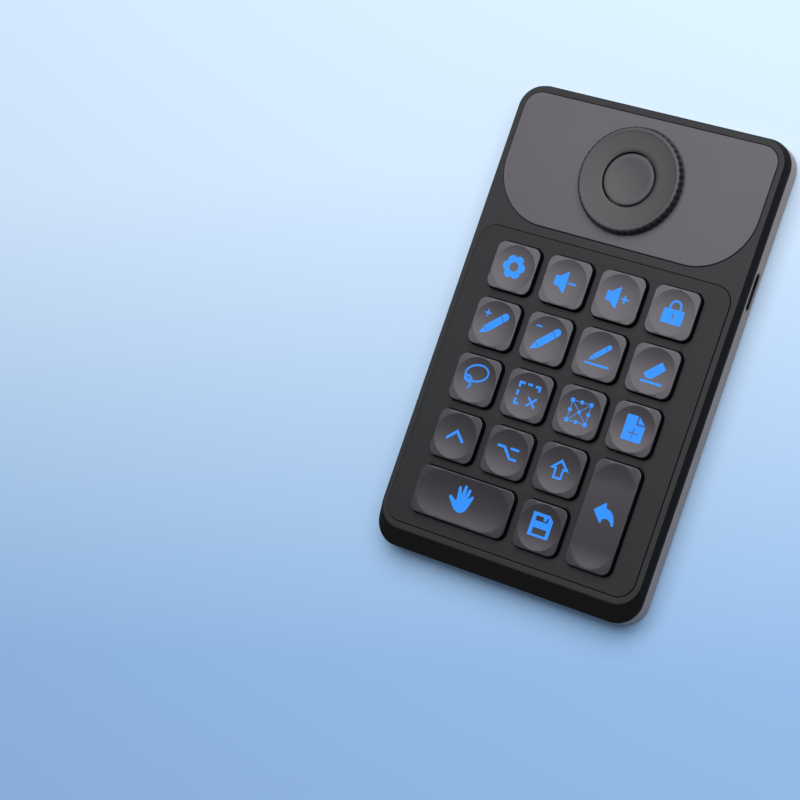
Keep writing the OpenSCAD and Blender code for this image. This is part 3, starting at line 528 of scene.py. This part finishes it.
def cap_ring(reach, z, half=None, corner=0, radius=None, steps=96):
    """Ring of points round a cap: a rounded rectangle, or a round or long dish of a given radius."""
    ring = []
    for i in range(steps):
        turn = 2 * pi * (i + 0.5) / steps - pi / 2
        side = reach if i < steps / 2 else -reach
        out = square_reach(turn, half, corner) if radius is None else radius
        ring.append(Vector((side + out * cos(turn), out * sin(turn), z)))
    return ring


def block(mesh, low, high):
    """Adds a box between two corners."""
    (x0, y0, z0), (x1, y1, z1) = low, high
    prism(mesh, [(x1, y0), (x1, y1), (x0, y1), (x0, y0)], z0, z1)


def cap_mesh(half, reach, top, stem_foot):
    """A keycap at the origin, with its long side along x."""
    mesh = bmesh.new()
    ceiling = top - dish_depth - cap_roof
    inner = half - cap_wall
    inner_corner = cap_corner - cap_wall
    rings = [cap_ring(reach, ceiling, inner - inner_edge, inner_corner - inner_edge),
             cap_ring(reach, ceiling - inner_edge, inner, inner_corner),
             cap_ring(reach, skirt_z, inner, inner_corner),
             cap_ring(reach, skirt_z, half + draft - skirt_edge, cap_corner),
             cap_ring(reach, skirt_z + skirt_edge, half + draft, cap_corner)]
    for inward, below in rounding(cap_edge, 7):
        rings.append(cap_ring(reach, top - below, half - inward, cap_corner - inward))
    dish_border = len(rings)
    for i in range(12):
        radius = dish_r * (1 - i / 12)
        rings.append(cap_ring(reach, dish_z(reach + radius, 0, reach, top), radius=radius))
    # The round dish has a crisp border, and the long one runs out softly
    skin(mesh, rings, [] if reach else [dish_border])
    for width, depth in ((stem_w, stem_arm), (stem_arm, stem_w)):
        block(mesh, (-width / 2, -depth / 2, stem_foot), (width / 2, depth / 2, ceiling + root))
    out = stem_w / 2 + catch_reach
    catch_foot = stem_foot + catch_gap
    block(mesh, (-out, -catch_w / 2, catch_foot), (out, catch_w / 2, catch_foot + catch_h))
    for side in (-1, 1) if reach else ():
        prism(mesh, circle(side * reach, 0, post_r, 24), stem_foot, ceiling + root)
    return mesh


# The sides carry painted shade and are drawn nearly black. The top has broad soft reflections
# that follow the dish, a shade cooler than white.
shaded_cap_sides = moulded_plastic("black moulded ABS cap", "080809", "060607", 0.6, shine=0.15)
grey_cap_top = moulded_plastic("satin grey cap coat", "29272a", "262427", 0.24, relief=0.002 * mm, shine=0.65)
set_shader(grey_cap_top, Specular_Tint=(0.97, 0.92, 1, 1))


def key_place(key):
    """Half width of a cap, half length of its middle part, its two heights and its placing."""
    low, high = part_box(key)
    size = high - low
    long_side, short_side = max(size.x, size.y), min(size.x, size.y)
    reach = (long_side - short_side) / 2 if long_side > short_side + mm else 0
    middle = Matrix.Translation(((low.x + high.x) / 2, (low.y + high.y) / 2, 0))
    turned = Matrix.Rotation(pi / 2 if size.y > size.x + mm else 0, 4, "Z")
    return short_side / 2 - draft, reach, low.z, high.z, middle @ turned


for key in key_names:
    half, reach, stem_foot, top, placing = key_place(key)
    cap = cap_mesh(half, reach, top, stem_foot)
    bmesh.ops.transform(cap, matrix=placing, verts=cap.verts)
    bmesh.ops.recalc_face_normals(cap, faces=cap.faces)
    # Upward faces on the cap's top get the grey, and all other faces get the painted shade
    for face in cap.faces:
        face.material_index = int(face.normal.z > 0.3 and face.calc_center_median().z > top - mm)
    piece(key.replace("keycap", "cap"), cap, [shaded_cap_sides, grey_cap_top], key.replace("keycap", "key"), [key],
          sharp=35)


# ---- Key symbols ----
# Each cap carries a symbol in light blue ink, pad-printed on its grey top. The ink is a thin flat
# film with a soft sheen, and it follows the dish.

def bar(start, end, width):
    """A straight stroke with round ends."""
    turn = atan2(end[1] - start[1], end[0] - start[0]) * 180 / pi
    return arc(*end, width / 2, turn - 90, turn + 90, 6) + arc(*start, width / 2, turn + 90, turn + 270, 6)


def ribbon(points, width):
    """A stroke with round ends along a few points."""
    left, right = [], []
    for i, p in enumerate(points):
        before, after = Vector(points[max(i - 1, 0)]), Vector(points[min(i + 1, len(points) - 1)])
        along = (after - before).normalized()
        bend = 1.0
        if 0 < i < len(points) - 1:
            bend = max(0.5, (Vector(p) - before).normalized().dot(along))
        side = Vector((-along.y, along.x)) * width / 2 / bend
        left.append(tuple(Vector(p) + side))
        right.append(tuple(Vector(p) - side))
    first = Vector(points[1]) - Vector(points[0])
    last = Vector(points[-1]) - Vector(points[-2])
    turn_a, turn_b = (atan2(v.y, v.x) * 180 / pi for v in (first, last))
    return (right[:-1] + arc(*points[-1], width / 2, turn_b - 90, turn_b + 90, 6) + left[-2:0:-1]
            + arc(*points[0], width / 2, turn_a + 90, turn_a + 270, 6))


def placed(points, x, y, turn):
    """Points turned by some degrees and moved to a place."""
    c, s = cos(radians(turn)), sin(radians(turn))
    return [(x + a * c - b * s, y + a * s + b * c) for a, b in points]


def cross(x, y, arm, width, turn=0):
    """A plus sign, turned by some degrees."""
    w = width / 2
    corners = [(arm, -w), (arm, w), (w, w), (w, arm), (-w, arm), (-w, w), (-arm, w), (-arm, -w), (-w, -w),
               (-w, -arm), (w, -arm), (w, -w)]
    return placed(corners, x, y, turn)


def box(x0, y0, x1, y1, radius):
    """A rectangle with slightly rounded corners."""
    left, right, low, high = x0 + radius, x1 - radius, y0 + radius, y1 - radius
    return (arc(right, high, radius, 0, 90, 3) + arc(left, high, radius, 90, 180, 3)
            + arc(left, low, radius, 180, 270, 3) + arc(right, low, radius, 270, 360, 3))


def bezier(a, b, c, d, steps):
    """Points on a curve from a to d that leaves towards b and arrives from c."""
    points = []
    for i in range(steps + 1):
        t = i / steps
        weights = (1 - t) ** 3, 3 * t * (1 - t) ** 2, 3 * t * t * (1 - t), t ** 3
        points.append(tuple(sum(w * p[k] for w, p in zip(weights, (a, b, c, d))) for k in (0, 1)))
    return points


def oval(x, y, rx, ry, turn):
    """A closed oval turned by some degrees."""
    turns = [2 * pi * i / 40 for i in range(40)]
    return placed([(rx * cos(t), ry * sin(t)) for t in turns], x, y, turn)


def pencil(tip, end, width, tip_l, band):
    """A pencil in three parts with fine gaps: its point, its body and, from band on, its rubber."""
    gap = 0.22
    axis = Vector(end) - Vector(tip)
    length = axis.length
    axis.normalize()
    side = Vector((-axis.y, axis.x))
    w = width / 2
    point = [(0, 0), (tip_l - gap, -w), (tip_l - gap, w)]
    body = [(tip_l, -w), (band - gap, -w), (band - gap, w), (tip_l, w)]
    rubber = [(band, w), (band, -w)] + arc(length - w, 0, w, -90, 90, 8)
    return [[[tuple(Vector(tip) + axis * u + side * v) for u, v in part]] for part in (point, body, rubber)]


def speaker(x, y):
    """A loudspeaker seen from the side, with its cone to the right."""
    half = [(0.45, 3.1), (0.3, 3.28), (-0.1, 3.1), (-2.1, 1.5), (-3.5, 1.45)]
    return [(x + a, y + b) for a, b in half + [(a, -b) for a, b in half[::-1]]]


def finger(x, y, turn, radius=0.46):
    """The round tip of a finger that points to turn degrees, from its left side to its right."""
    return arc(x, y, radius, turn + 90, turn - 90, 6)


# A wheel with six soft teeth
gear = []
for i in range(120):
    turn = 2 * pi * i / 120
    radius = 2.85 + 0.8 * (1 - sin(3 * turn) ** 4) ** 0.6
    gear.append((radius * cos(turn), 0.25 + radius * sin(turn)))
# A frame with square handles at its corners, round ones between them, and lines from all of them
square_handles = [(-3, 2.95), (3.05, 2.95), (-3, -3), (3.05, -3)]
round_handles = [(0, 2.95), (0, -3), (-3, 0), (3.05, 0)]
frame_lines = [[(-2.2, y), (-0.8, y)] for y in (2.95, -3)] + [[(0.8, y), (2.3, y)] for y in (2.95, -3)]
frame_lines += [[(x, -2.2), (x, -0.8)] for x in (-3, 3.05)] + [[(x, 0.8), (x, 2.2)] for x in (-3, 3.05)]
frame_lines += [[(a * 2.3, b * 2.25), (a * 0.6, b * 0.58)] for a in (-1, 1) for b in (-1, 1)]

# Closed outlines in millimetres from the middle of each cap. The first of a part is its edge,
# and any others are holes in it.
symbols = {
    "settings": [[gear, circle(0, 0.25, 1.43, 36)]],
    "volume_down": [[speaker(0, 0)], [bar((1.25, -0.05), (3.3, -0.05), 0.6)]],
    "volume_up": [[speaker(-0.25, -0.15)], [cross(2.15, -0.15, 1.2, 0.6)]],
    "lock": [[arc(3.3, 0.65, 0.35, 0, 90, 3) + [(2.4, 1)] + arc(0.45, 1.85, 1.95, 0, 180, 20)
              + [(-1.5, 1)] + arc(-2.55, 0.65, 0.35, 90, 180, 3) + arc(-2.55, -2.95, 0.35, 180, 270, 3)
              + arc(3.3, -2.95, 0.35, 270, 360, 3),
              arc(0.45, 1.85, 1.3, 0, 180, 20) + [(-0.85, 1), (1.75, 1)],
              bar((0.4, -1.5), (0.4, -0.6), 0.5)]],
    "brush_larger": pencil((-3.95, -3.75), (3.75, 3.5), 2.3, 2.5, 8.4) + [[cross(-3.05, 2.65, 1.1, 0.45)]],
    "brush_smaller": pencil((-4.1, -4), (3.8, 3.5), 2.3, 2.7, 8.7) + [[bar((-4.1, 3.2), (-2.5, 3.2), 0.45)]],
    "pen": pencil((-2.6, -2.15), (3.2, 3.3), 1.55, 1.8, 6.4) + [[bar((-3.3, -3.05), (4.1, -3.05), 0.62)]],
    "eraser": [[[(3.8, 1.1), (3.75, 1.3), (2.2, 2.95), (1.95, 3), (-2.25, -0.95), (-2.4, -1.25), (-2.3, -1.5),
                 (-1.4, -2.3), (-1, -2.42), (0.15, -2.42), (0.45, -2.3)]],
               [bar((-2.6, -3.4), (3.9, -3.4), 0.68)]],
    "lasso": [[oval(-0.05, 2, 4, 2.75, 14), oval(-0.05, 2, 3.45, 2.2, 14)],
              [oval(-2.4, -0.1, 1.5, 1.1, -20), oval(-2.4, -0.1, 0.95, 0.55, -20)],
              [ribbon(bezier((-1.75, -1.15), (-0.7, -1.2), (-0.9, -2.1), (-1.7, -2.85), 6), 0.55)]],
    "deselect": [[[(-3.45, 3.8), (-3.45, 2), (-2.7, 2), (-2.7, 3.05), (-1.5, 3.05), (-1.5, 3.8)]],
                 [[(3.85, 3.7), (2, 3.7), (2, 2.95), (3.1, 2.95), (3.1, 1.95), (3.85, 1.95)]],
                 [[(-3.45, -3.3), (-1.7, -3.3), (-1.7, -2.55), (-2.7, -2.55), (-2.7, -1.45), (-3.45, -1.45)]],
                 [box(-0.6, 3.05, 0.95, 3.8, 0.05)], [box(-3.45, -0.45, -2.7, 1.1, 0.05)],
                 [cross(2.15, -1.5, 2, 0.62, 45)]],
    "transform": [[box(x - 0.62, y - 0.62, x + 0.62, y + 0.62, 0.1)] for x, y in square_handles]
                 + [[circle(x, y, 0.62, 24)] for x, y in round_handles]
                 + [[bar(a, b, 0.2)] for a, b in frame_lines] + [[cross(0, 0, 0.62, 0.62, 45)]],
    "new_page": [[[(0.6, 3.95), (-2.6, 3.95), (-2.85, 3.7), (-2.85, -3.3), (-2.6, -3.55), (3.25, -3.55),
                   (3.5, -3.3), (3.5, 1.35), (0.6, 1.35)], cross(0.3, -1.15, 1.5, 0.3)],
                 [[(1, 3.85), (1, 1.75), (3.3, 1.75)]]],
    "control": [[ribbon([(-2.6, -1.1), (0, 1.5), (2.6, -1.1)], 0.85)]],
    "alternate": [[ribbon([(-3.3, 1.5), (-1.3, 1.5), (1.3, -1.5), (3.3, -1.5)], 0.75)],
                  [bar((1, 1.5), (3.3, 1.5), 0.75)]],
    "shift": [[[(0, 3.2), (-3.2, 0), (-1.5, 0), (-1.5, -2.8), (1.5, -2.8), (1.5, 0), (3.2, 0)],
               [(0, 2.2), (-1.6, 0.62), (-0.88, 0.62), (-0.88, -2.18), (0.88, -2.18), (0.88, 0.62),
                (1.6, 0.62)]]],
    "undo": [[[(-3.3, 1.1), (-3.1, 0.8), (-0.6, -1.9), (-0.35, -2), (-0.15, -1.85), (-0.1, -0.95)]
              + bezier((0.05, -0.75), (1.2, 0.1), (2.5, -0.6), (3.2, -1.85), 8)
              + [(3.45, -2), (3.75, -1.9)] + bezier((3.88, -1.7), (3.4, 1.2), (2, 2.4), (0.25, 2.5), 10)
              + [(0.1, 2.7), (0, 3.7), (-0.2, 3.95), (-0.5, 3.9), (-3.2, 1.4)]]],
    "hand": [[bezier((-4.45, 0.05), (-2.6, -1.6), (-2.1, -3.5), (0.1, -3.5), 8)[::-1]
              + finger(-3.85, 0.2, 135, 0.55) + [(-2.2, -0.35), (-1.75, -0.1), (-1.9, 1)]
              + finger(-1.75, 3.6, 97) + [(-0.72, 1.5)] + finger(0.05, 4.35, 91) + [(0.6, 1.5)]
              + finger(1.55, 3.55, 78) + [(1.75, 0.9)] + finger(2.95, 1.85, 66, 0.42)
              + bezier((2.9, -0.1), (2.3, -1.6), (2.3, -3.4), (0.2, -3.5), 8)]],
    "save": [[[(-3.2, -2.9), (3.55, -2.9), (3.55, 2.7), (2.1, 4.1), (-3.2, 4.1)],
              [(-2, 1.7), (2, 1.7), (2, 3.15), (1.5, 3.15), (1.5, 2.1), (0.45, 2.1), (0.45, 3.15),
               (-2, 3.15)],
              box(-2, -2.2, 2.4, -0.35, 0.05)]],
}
# The film stands this far above the cap's top, and its underside lies this far inside it
film = 0.02 * mm
bite = 0.05 * mm
grid = 0.7 * mm
# Points of one outline that touch, and slivers left by the grid, are welded at these distances
touch = 0.001 * mm
sliver = 0.02 * mm


def print_film(parts, reach, top):
    """A thin closed film on a cap's top, from flat outlines, cut on a grid so that it bends."""
    mesh = bmesh.new()
    for part in parts:
        loops = [[Vector((x * mm, y * mm, 0)) for x, y in loop] for loop in part]
        verts = [mesh.verts.new(p) for loop in loops for p in loop]
        for triangle in tessellate_polygon(loops):
            mesh.faces.new([verts[i] for i in triangle])
    bmesh.ops.remove_doubles(mesh, verts=mesh.verts, dist=touch)
    bmesh.ops.recalc_face_normals(mesh, faces=mesh.faces)
    # The grid is off the middle, so that none of its lines runs along an outline
    for axis in (Vector((1, 0, 0)), Vector((0, 1, 0))):
        for i in range(-8, 9):
            bmesh.ops.bisect_plane(mesh, geom=mesh.verts[:] + mesh.edges[:] + mesh.faces[:],
                                   plane_co=axis * (i + 0.37) * grid, plane_no=axis)
    bmesh.ops.remove_doubles(mesh, verts=mesh.verts, dist=sliver)
    if sum(f.normal.z for f in mesh.faces) < 0:
        bmesh.ops.reverse_faces(mesh, faces=mesh.faces)
    border = [e for e in mesh.edges if e.is_boundary]
    lower = {v: mesh.verts.new(v.co) for v in mesh.verts[:]}
    for v, under in lower.items():
        z = dish_z(v.co.x, v.co.y, reach, top)
        v.co.z, under.co.z = z + film, z - bite
    for face in mesh.faces[:]:
        mesh.faces.new([lower[v] for v in face.verts][::-1])
    for e in border:
        a, b = e.verts
        mesh.faces.new((a, b, lower[b], lower[a]))
    return mesh


blue_ink = new_material("light blue pad-printing ink", Roughness=0.55, Specular_IOR_Level=0.3)
place = add_node(blue_ink, "ShaderNodeTexCoord").outputs["Object"]
# The ink lies a little unevenly, in patches about this wide
speckle_w = 0.4 * mm
speckle = add_node(blue_ink, "ShaderNodeTexNoise", {"Scale": 1 / speckle_w, "Detail": 2}, {"Vector": place})
ink = add_node(blue_ink, "ShaderNodeMix", {6: colour("258af4"), 7: colour("2c90f9")},
               {0: speckle.outputs["Fac"]}, data_type="RGBA")
feed(blue_ink, Base_Color=ink.outputs[2])

for key in key_names:
    half, reach, stem_foot, top, placing = key_place(key)
    parts = symbols[key.replace("keycap_", "")]
    if placing[0][0] < 0.5:
        # The tall key is turned by a quarter, so its symbol is turned back
        parts = [[[(y, -x) for x, y in loop] for loop in part] for part in parts]
    film_mesh = print_film(parts, reach, top)
    bmesh.ops.transform(film_mesh, matrix=placing, verts=film_mesh.verts)
    piece(key.replace("keycap", "symbol"), film_mesh, blue_ink, key.replace("keycap", "key"))


# ---- Dial and push button ----
# The dial is a ring of black ABS with fine grip flutes round its side, pressed on the tube of
# a hollow encoder. Its mould is polished finer than the case's, so it has a satin glow. The
# charcoal button in its middle is duller, with a slightly hollow top.

def turned_piece(mesh, profile, radial, y):
    """Adds a turned form from a profile of (radius, height, share). radial says how far the side
    is cut in at an angle, and share how much of that a point of the profile takes."""
    steps = 480
    rings = []
    for radius, z, share in profile:
        ring = []
        for i in range(steps):
            turn = 2 * pi * i / steps
            r = radius - share * radial(turn)
            ring.append(Vector((r * cos(turn), y + r * sin(turn), z)))
        rings.append(ring)
    skin(mesh, rings, ends=False, closed=True)


flutes = 48
flute_depth = 0.32 * mm


def flute(turn):
    """How far a grip flute cuts in at an angle."""
    return flute_depth * max(0.0, cos(flutes * turn)) ** 0.7


dial = bmesh.new()
foot_z = 9.6 * mm
top_z = dial_high.z
bore_r = 8.2 * mm
hub_r = 10.4 * mm
tube_r = 8.6 * mm
tube_top = 9.4 * mm
web_z = top_z - 1.6 * mm
grip_wall = 2 * mm
foot_edge = 0.3 * mm
# The flutes are full up to this far below the top, and run out over the rounded shoulder
flute_end = 1 * mm
shoulder = 0.8 * mm
# A flat border, then a shallow pan down to the bore's rounded edge
border_r = dial_r - 1.5 * mm
pan_r = dial_r - 1.9 * mm
pan_fall = 0.12 * mm
pan_end = bore_r + 1.4 * mm
pan_z = top_z - 0.42 * mm
# Points of the bore's rounded edge, as pairs of how far out and how far below the pan
bore_edge = [(0.35 * mm, 0), (0.1 * mm, 0.08 * mm), (0, 0.33 * mm)]
profile = [(tube_r, dial_low.z, 0), (hub_r, dial_low.z, 0), (hub_r, web_z, 0), (dial_r - grip_wall, web_z, 0),
           (dial_r - grip_wall, foot_z, 0), (dial_r - foot_edge, foot_z, 0.4),
           (dial_r, foot_z + foot_edge, 1), (dial_r, top_z - flute_end, 1)]
for i, (inward, below) in enumerate(rounding(shoulder, 6)):
    if i > 0:
        profile.append((dial_r - inward, top_z - below, 1 - i / 6))
profile += [(border_r, top_z, 0), (pan_r, top_z - pan_fall, 0), (pan_end, pan_z, 0)]
profile += [(bore_r + outward, pan_z - below, 0) for outward, below in bore_edge]
profile += [(bore_r, tube_top, 0), (tube_r, tube_top, 0)]
turned_piece(dial, profile, flute, dial_y)
satin_black = moulded_plastic("satin black ABS", "232326", "1e1e21", 0.34, relief=0.003 * mm)
piece("dial_ring", dial, satin_black, "dial", ["dial"], sharp=30)

button = bmesh.new()
button_low, button_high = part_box("dial_button")
button_r = (button_high.x - button_low.x) / 2
head_z = 10.5 * mm
head_edge = 0.1 * mm
ceiling_z = 9.9 * mm
# A small flat face closes the ceiling inside this radius
ceiling_r = 0.3 * mm
sleeve_r = 6.1 * mm
sleeve_t = 1.1 * mm
button_edge = 0.5 * mm
hollow_r = button_r - 0.9 * mm
hollow_depth = 0.4 * mm
pin_r = 1.9 * mm
section = [(ceiling_r, ceiling_z), (sleeve_r - sleeve_t, ceiling_z), (sleeve_r - sleeve_t, button_low.z),
           (sleeve_r, button_low.z), (sleeve_r, head_z), (button_r - head_edge, head_z),
           (button_r, head_z + head_edge)]
section += [(button_r - inward, button_high.z - below) for inward, below in rounding(button_edge, 6)]
for i in range(1, 11):
    radius = hollow_r * (1 - i / 10.5)
    section.append((radius, button_high.z - hollow_depth * (1 - (radius / hollow_r) ** 2)))
skin(button, [level(circle(0, dial_y, radius, 144), z) for radius, z in section])
plunger_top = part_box("switch_plunger")[1].z
prism(button, circle(0, dial_y, pin_r, 24), plunger_top, ceiling_z + root)
charcoal_button = moulded_plastic("charcoal button ABS", "38383b", "333336", 0.42, relief=0.004 * mm)
piece("dial_button_cap", button, charcoal_button, "dial_button", ["dial_button"])


# ---- Switches and encoder ----
# A small black ABS slider with finger ridges runs in the slot in the right wall, which a black
# frame with a lip lines, and moves the acetal lever of a slide switch on the board. The ABS is
# nearly black and dull, and the acetal a waxy off-white.

def finish_node(name, material):
    """Gives a CAD node that stays in view its finish."""
    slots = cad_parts[name].data.materials
    slots.clear()
    slots.append(material)


slider_plastic = moulded_plastic("black ABS slider", "080809", "060607", 0.5, shine=0.15)
for name in ("power_slider", "slot_bezel"):
    finish_node(name, slider_plastic)
lip = bmesh.new()
lip_back = 0.02 * mm - wall
lip_face = -0.05 * mm
lip_edge = 0.03 * mm
bezel_gap = 0.01 * mm
loops = [(slot_lip, lip_back), (slot_lip, lip_face - lip_edge), (0.8 * slot_lip, lip_face),
         (bezel_gap, lip_face), (bezel_gap, lip_back)]
skin(lip, [wall_loop(slot_l, slot_h, grow, slot_centre, rightward, along) for grow, along in loops],
     ends=False, closed=True)
piece("slot_lip", lip, slider_plastic, "case")
# The lever and the encoder's moving pieces keep the milky colour of unpainted acetal
natural_acetal = moulded_plastic("natural acetal", "ddd8cc", "d3cdc0", 0.35, relief=0.002 * mm)
for name in ("switch_lever", "switch_plunger", "encoder_rotor"):
    finish_node(name, natural_acetal)
# Glass fibres make the bodies matt and a little greyer than the slider
switch_plastic = moulded_plastic("black glass-filled PBT", "28282b", "222225", 0.5)
for name in ("switch_body", "push_switch", "encoder_base"):
    finish_node(name, switch_plastic)


# ---- Feet and screws ----
# Two strips of black silicone rubber, moulded with tread grooves, are glued over the case screws
# and look dull and even. The case screws are black zinc-plated steel. The board screws and the
# socket are bright nickel-plated steel.

rubber = moulded_plastic("black silicone rubber", "1d1d1e", "181819", 0.72, relief=0.01 * mm)
finish_node("foot_strips", rubber)


def drawn_metal(name, tone, roughness):
    """Metal with fine drawn lines, which are 0.1 mm apart here and finer on the real part. They
    stretch its highlights across the lines."""
    line_gap = 0.1 * mm
    pale = colour(tone)
    dim = [0.9 * channel for channel in pale[:3]] + [1]
    material = new_material(name, Metallic=1)
    place = add_node(material, "ShaderNodeTexCoord").outputs["Object"]
    stretch = add_node(material, "ShaderNodeMapping", {"Scale": (1, 0.05, 1)}, {"Vector": place})
    lines = add_node(material, "ShaderNodeTexNoise", {"Scale": 1 / line_gap, "Detail": 2},
                     {"Vector": stretch.outputs["Vector"]})
    satin = add_node(material, "ShaderNodeMapRange",
                     {"To Min": roughness - 0.06, "To Max": roughness + 0.1},
                     {"Value": lines.outputs["Fac"]})
    bump = add_node(material, "ShaderNodeBump", {"Strength": 0.3, "Distance": 0.003 * mm},
                    {"Height": lines.outputs["Fac"]})
    tint = add_node(material, "ShaderNodeMix", {6: pale, 7: dim}, {0: lines.outputs["Fac"]},
                    data_type="RGBA")
    feed(material, Base_Color=tint.outputs[2], Roughness=satin.outputs["Result"],
         Normal=bump.outputs["Normal"])
    return material


finish_node("case_screws", drawn_metal("black zinc-plated steel", "4d4e52", 0.4))
nickel = drawn_metal("nickel-plated steel", "cbccce", 0.25)
finish_node("board_screws", nickel)
finish_node("charging_socket", nickel)


# ---- Keys inside ----
# Under the caps a moulded black acetal frame with a faint waxy sheen guides the stems. Below it a
# translucent grey silicone mat, moulded in one piece, has a sprung dome for each key. Light goes
# a little way into it, which gives it a milky look.

finish_node("guide_frame", moulded_plastic("black acetal", "1c1c1e", "161618", 0.38))
silicone = moulded_plastic("translucent grey silicone", "c0c0c2", "b2b2b5", 0.45)
set_shader(silicone, Transmission_Weight=0.25, Subsurface_Weight=0.15)
finish_node("dome_mat", silicone)


# ---- Board and battery ----
# The board is glass-epoxy laminate under green solder mask, through which its copper traces show
# as raised lines, and its chips are dull black resin. The pouch cell's laminate foil has the soft
# shine of rolled aluminium, and the cell has a foam pad and two PVC leads.

laminate = new_material("green solder mask on laminate", Roughness=0.3, IOR=1.5)
place = add_node(laminate, "ShaderNodeTexCoord").outputs["Object"]
trace_gap = 2.4 * mm
traces = add_node(laminate, "ShaderNodeTexBrick",
                  {"Scale": 1 / trace_gap, "Mortar Size": 0.08, "Brick Width": 1.7, "Row Height": 0.35},
                  {"Vector": place}, offset=0.35, squash=1.6)
tint = add_node(laminate, "ShaderNodeMix", {6: colour("17402c"), 7: colour("2d6b4a")},
                {0: traces.outputs["Fac"]}, data_type="RGBA")
bump = add_node(laminate, "ShaderNodeBump", {"Strength": 0.4, "Distance": 0.03 * mm},
                {"Height": traces.outputs["Fac"]})
feed(laminate, Base_Color=tint.outputs[2], Normal=bump.outputs["Normal"])
finish_node("circuit_board", laminate)
finish_node("board_chips", moulded_plastic("black epoxy resin", "18181a", "121214", 0.55))
finish_node("battery", drawn_metal("aluminium laminate foil", "c2c5ca", 0.4))
# The foam's open skin swallows light, and the insulation is smooth and glossy
foam = moulded_plastic("black closed-cell foam", "242426", "19191a", 0.85, grit=0.6 * mm, relief=0.05 * mm)
finish_node("battery_pad", foam)
insulation = moulded_plastic("red PVC insulation", "a31a1a", "8e1414", 0.3, relief=0.002 * mm)
finish_node("battery_lead", insulation)


# ---- Floor, lights and camera ----
# A graded pale blue sheet under one large softbox that hangs behind and above the keypad. The
# keypad is seen from its right side, from high up.

floor_half = 3.0
floor_thickness = 5 * mm
ground = bmesh.new()
block(ground, (-floor_half, -floor_half, -floor_thickness), (floor_half, floor_half, 0))
# The paper gets paler along this direction, from a near to a far place on it
fade_along = (-0.275, 0.9615, 0)
fade_near = -95 * mm
fade_far = 60 * mm
# Tufts of paper fibre, drawn coarser than they are so that they show
fibre_w = 1.5 * mm
paper = new_material("graded pale blue paper", Roughness=0.85, Specular_IOR_Level=0.2)
place = add_node(paper, "ShaderNodeTexCoord").outputs["Object"]
along = add_node(paper, "ShaderNodeVectorMath", {1: fade_along}, {0: place}, operation="DOT_PRODUCT")
fade = add_node(paper, "ShaderNodeMapRange", {"From Min": fade_near, "From Max": fade_far},
                {"Value": along.outputs["Value"]})
fibre = add_node(paper, "ShaderNodeTexNoise", {"Scale": 1 / fibre_w, "Detail": 3}, {"Vector": place})
mottle = add_node(paper, "ShaderNodeMath", {1: 0.02}, {0: fibre.outputs["Fac"]}, operation="MULTIPLY")
graded = add_node(paper, "ShaderNodeMath", links={0: fade.outputs["Result"], 1: mottle.outputs["Value"]},
                  operation="ADD")
tint = add_node(paper, "ShaderNodeMix", {6: colour("93bae4"), 7: colour("cbdef2")},
                {0: graded.outputs["Value"]}, data_type="RGBA")
feed(paper, Base_Color=tint.outputs[2])
data = bpy.data.meshes.new("floor")
ground.to_mesh(data)
ground.free()
data.materials.append(paper)
floor = bpy.data.objects.new("floor", data)
bpy.context.scene.collection.objects.link(floor)

world = bpy.data.worlds.new("studio")
world.use_nodes = True
bpy.context.scene.world = world
room = world.node_tree.nodes["Background"]
room.inputs["Color"].default_value = colour("dfe8f2")
room.inputs["Strength"].default_value = 0.28

light = bpy.data.lights.new("softbox", "AREA")
light.shape = "RECTANGLE"
light.size = 1.42
light.size_y = 1.4
light.energy = 20
softbox = bpy.data.objects.new("softbox", light)
softbox.location = (0.11, 0.74, 0.85)
bpy.context.scene.collection.objects.link(softbox)

camera_place = Vector((288.5, -57.9, 634.4)) * mm
looking = Vector((-0.474707, 0.037847, -0.87933)).normalized()
right = Vector((0.837669, 0.326046, -0.438183))
right = (right - looking * right.dot(looking)).normalized()
up = right.cross(looking)
view = bpy.data.cameras.new("camera")
view.sensor_width = 36
view.lens = 106.83
view.clip_start = 0.05
camera = bpy.data.objects.new("camera", view)
facing = Matrix((right, up, -looking)).transposed().to_4x4()
camera.matrix_world = Matrix.Translation(camera_place) @ facing
bpy.context.scene.collection.objects.link(camera)
bpy.context.scene.camera = camera
bpy.context.scene.view_settings.view_transform = "Standard"
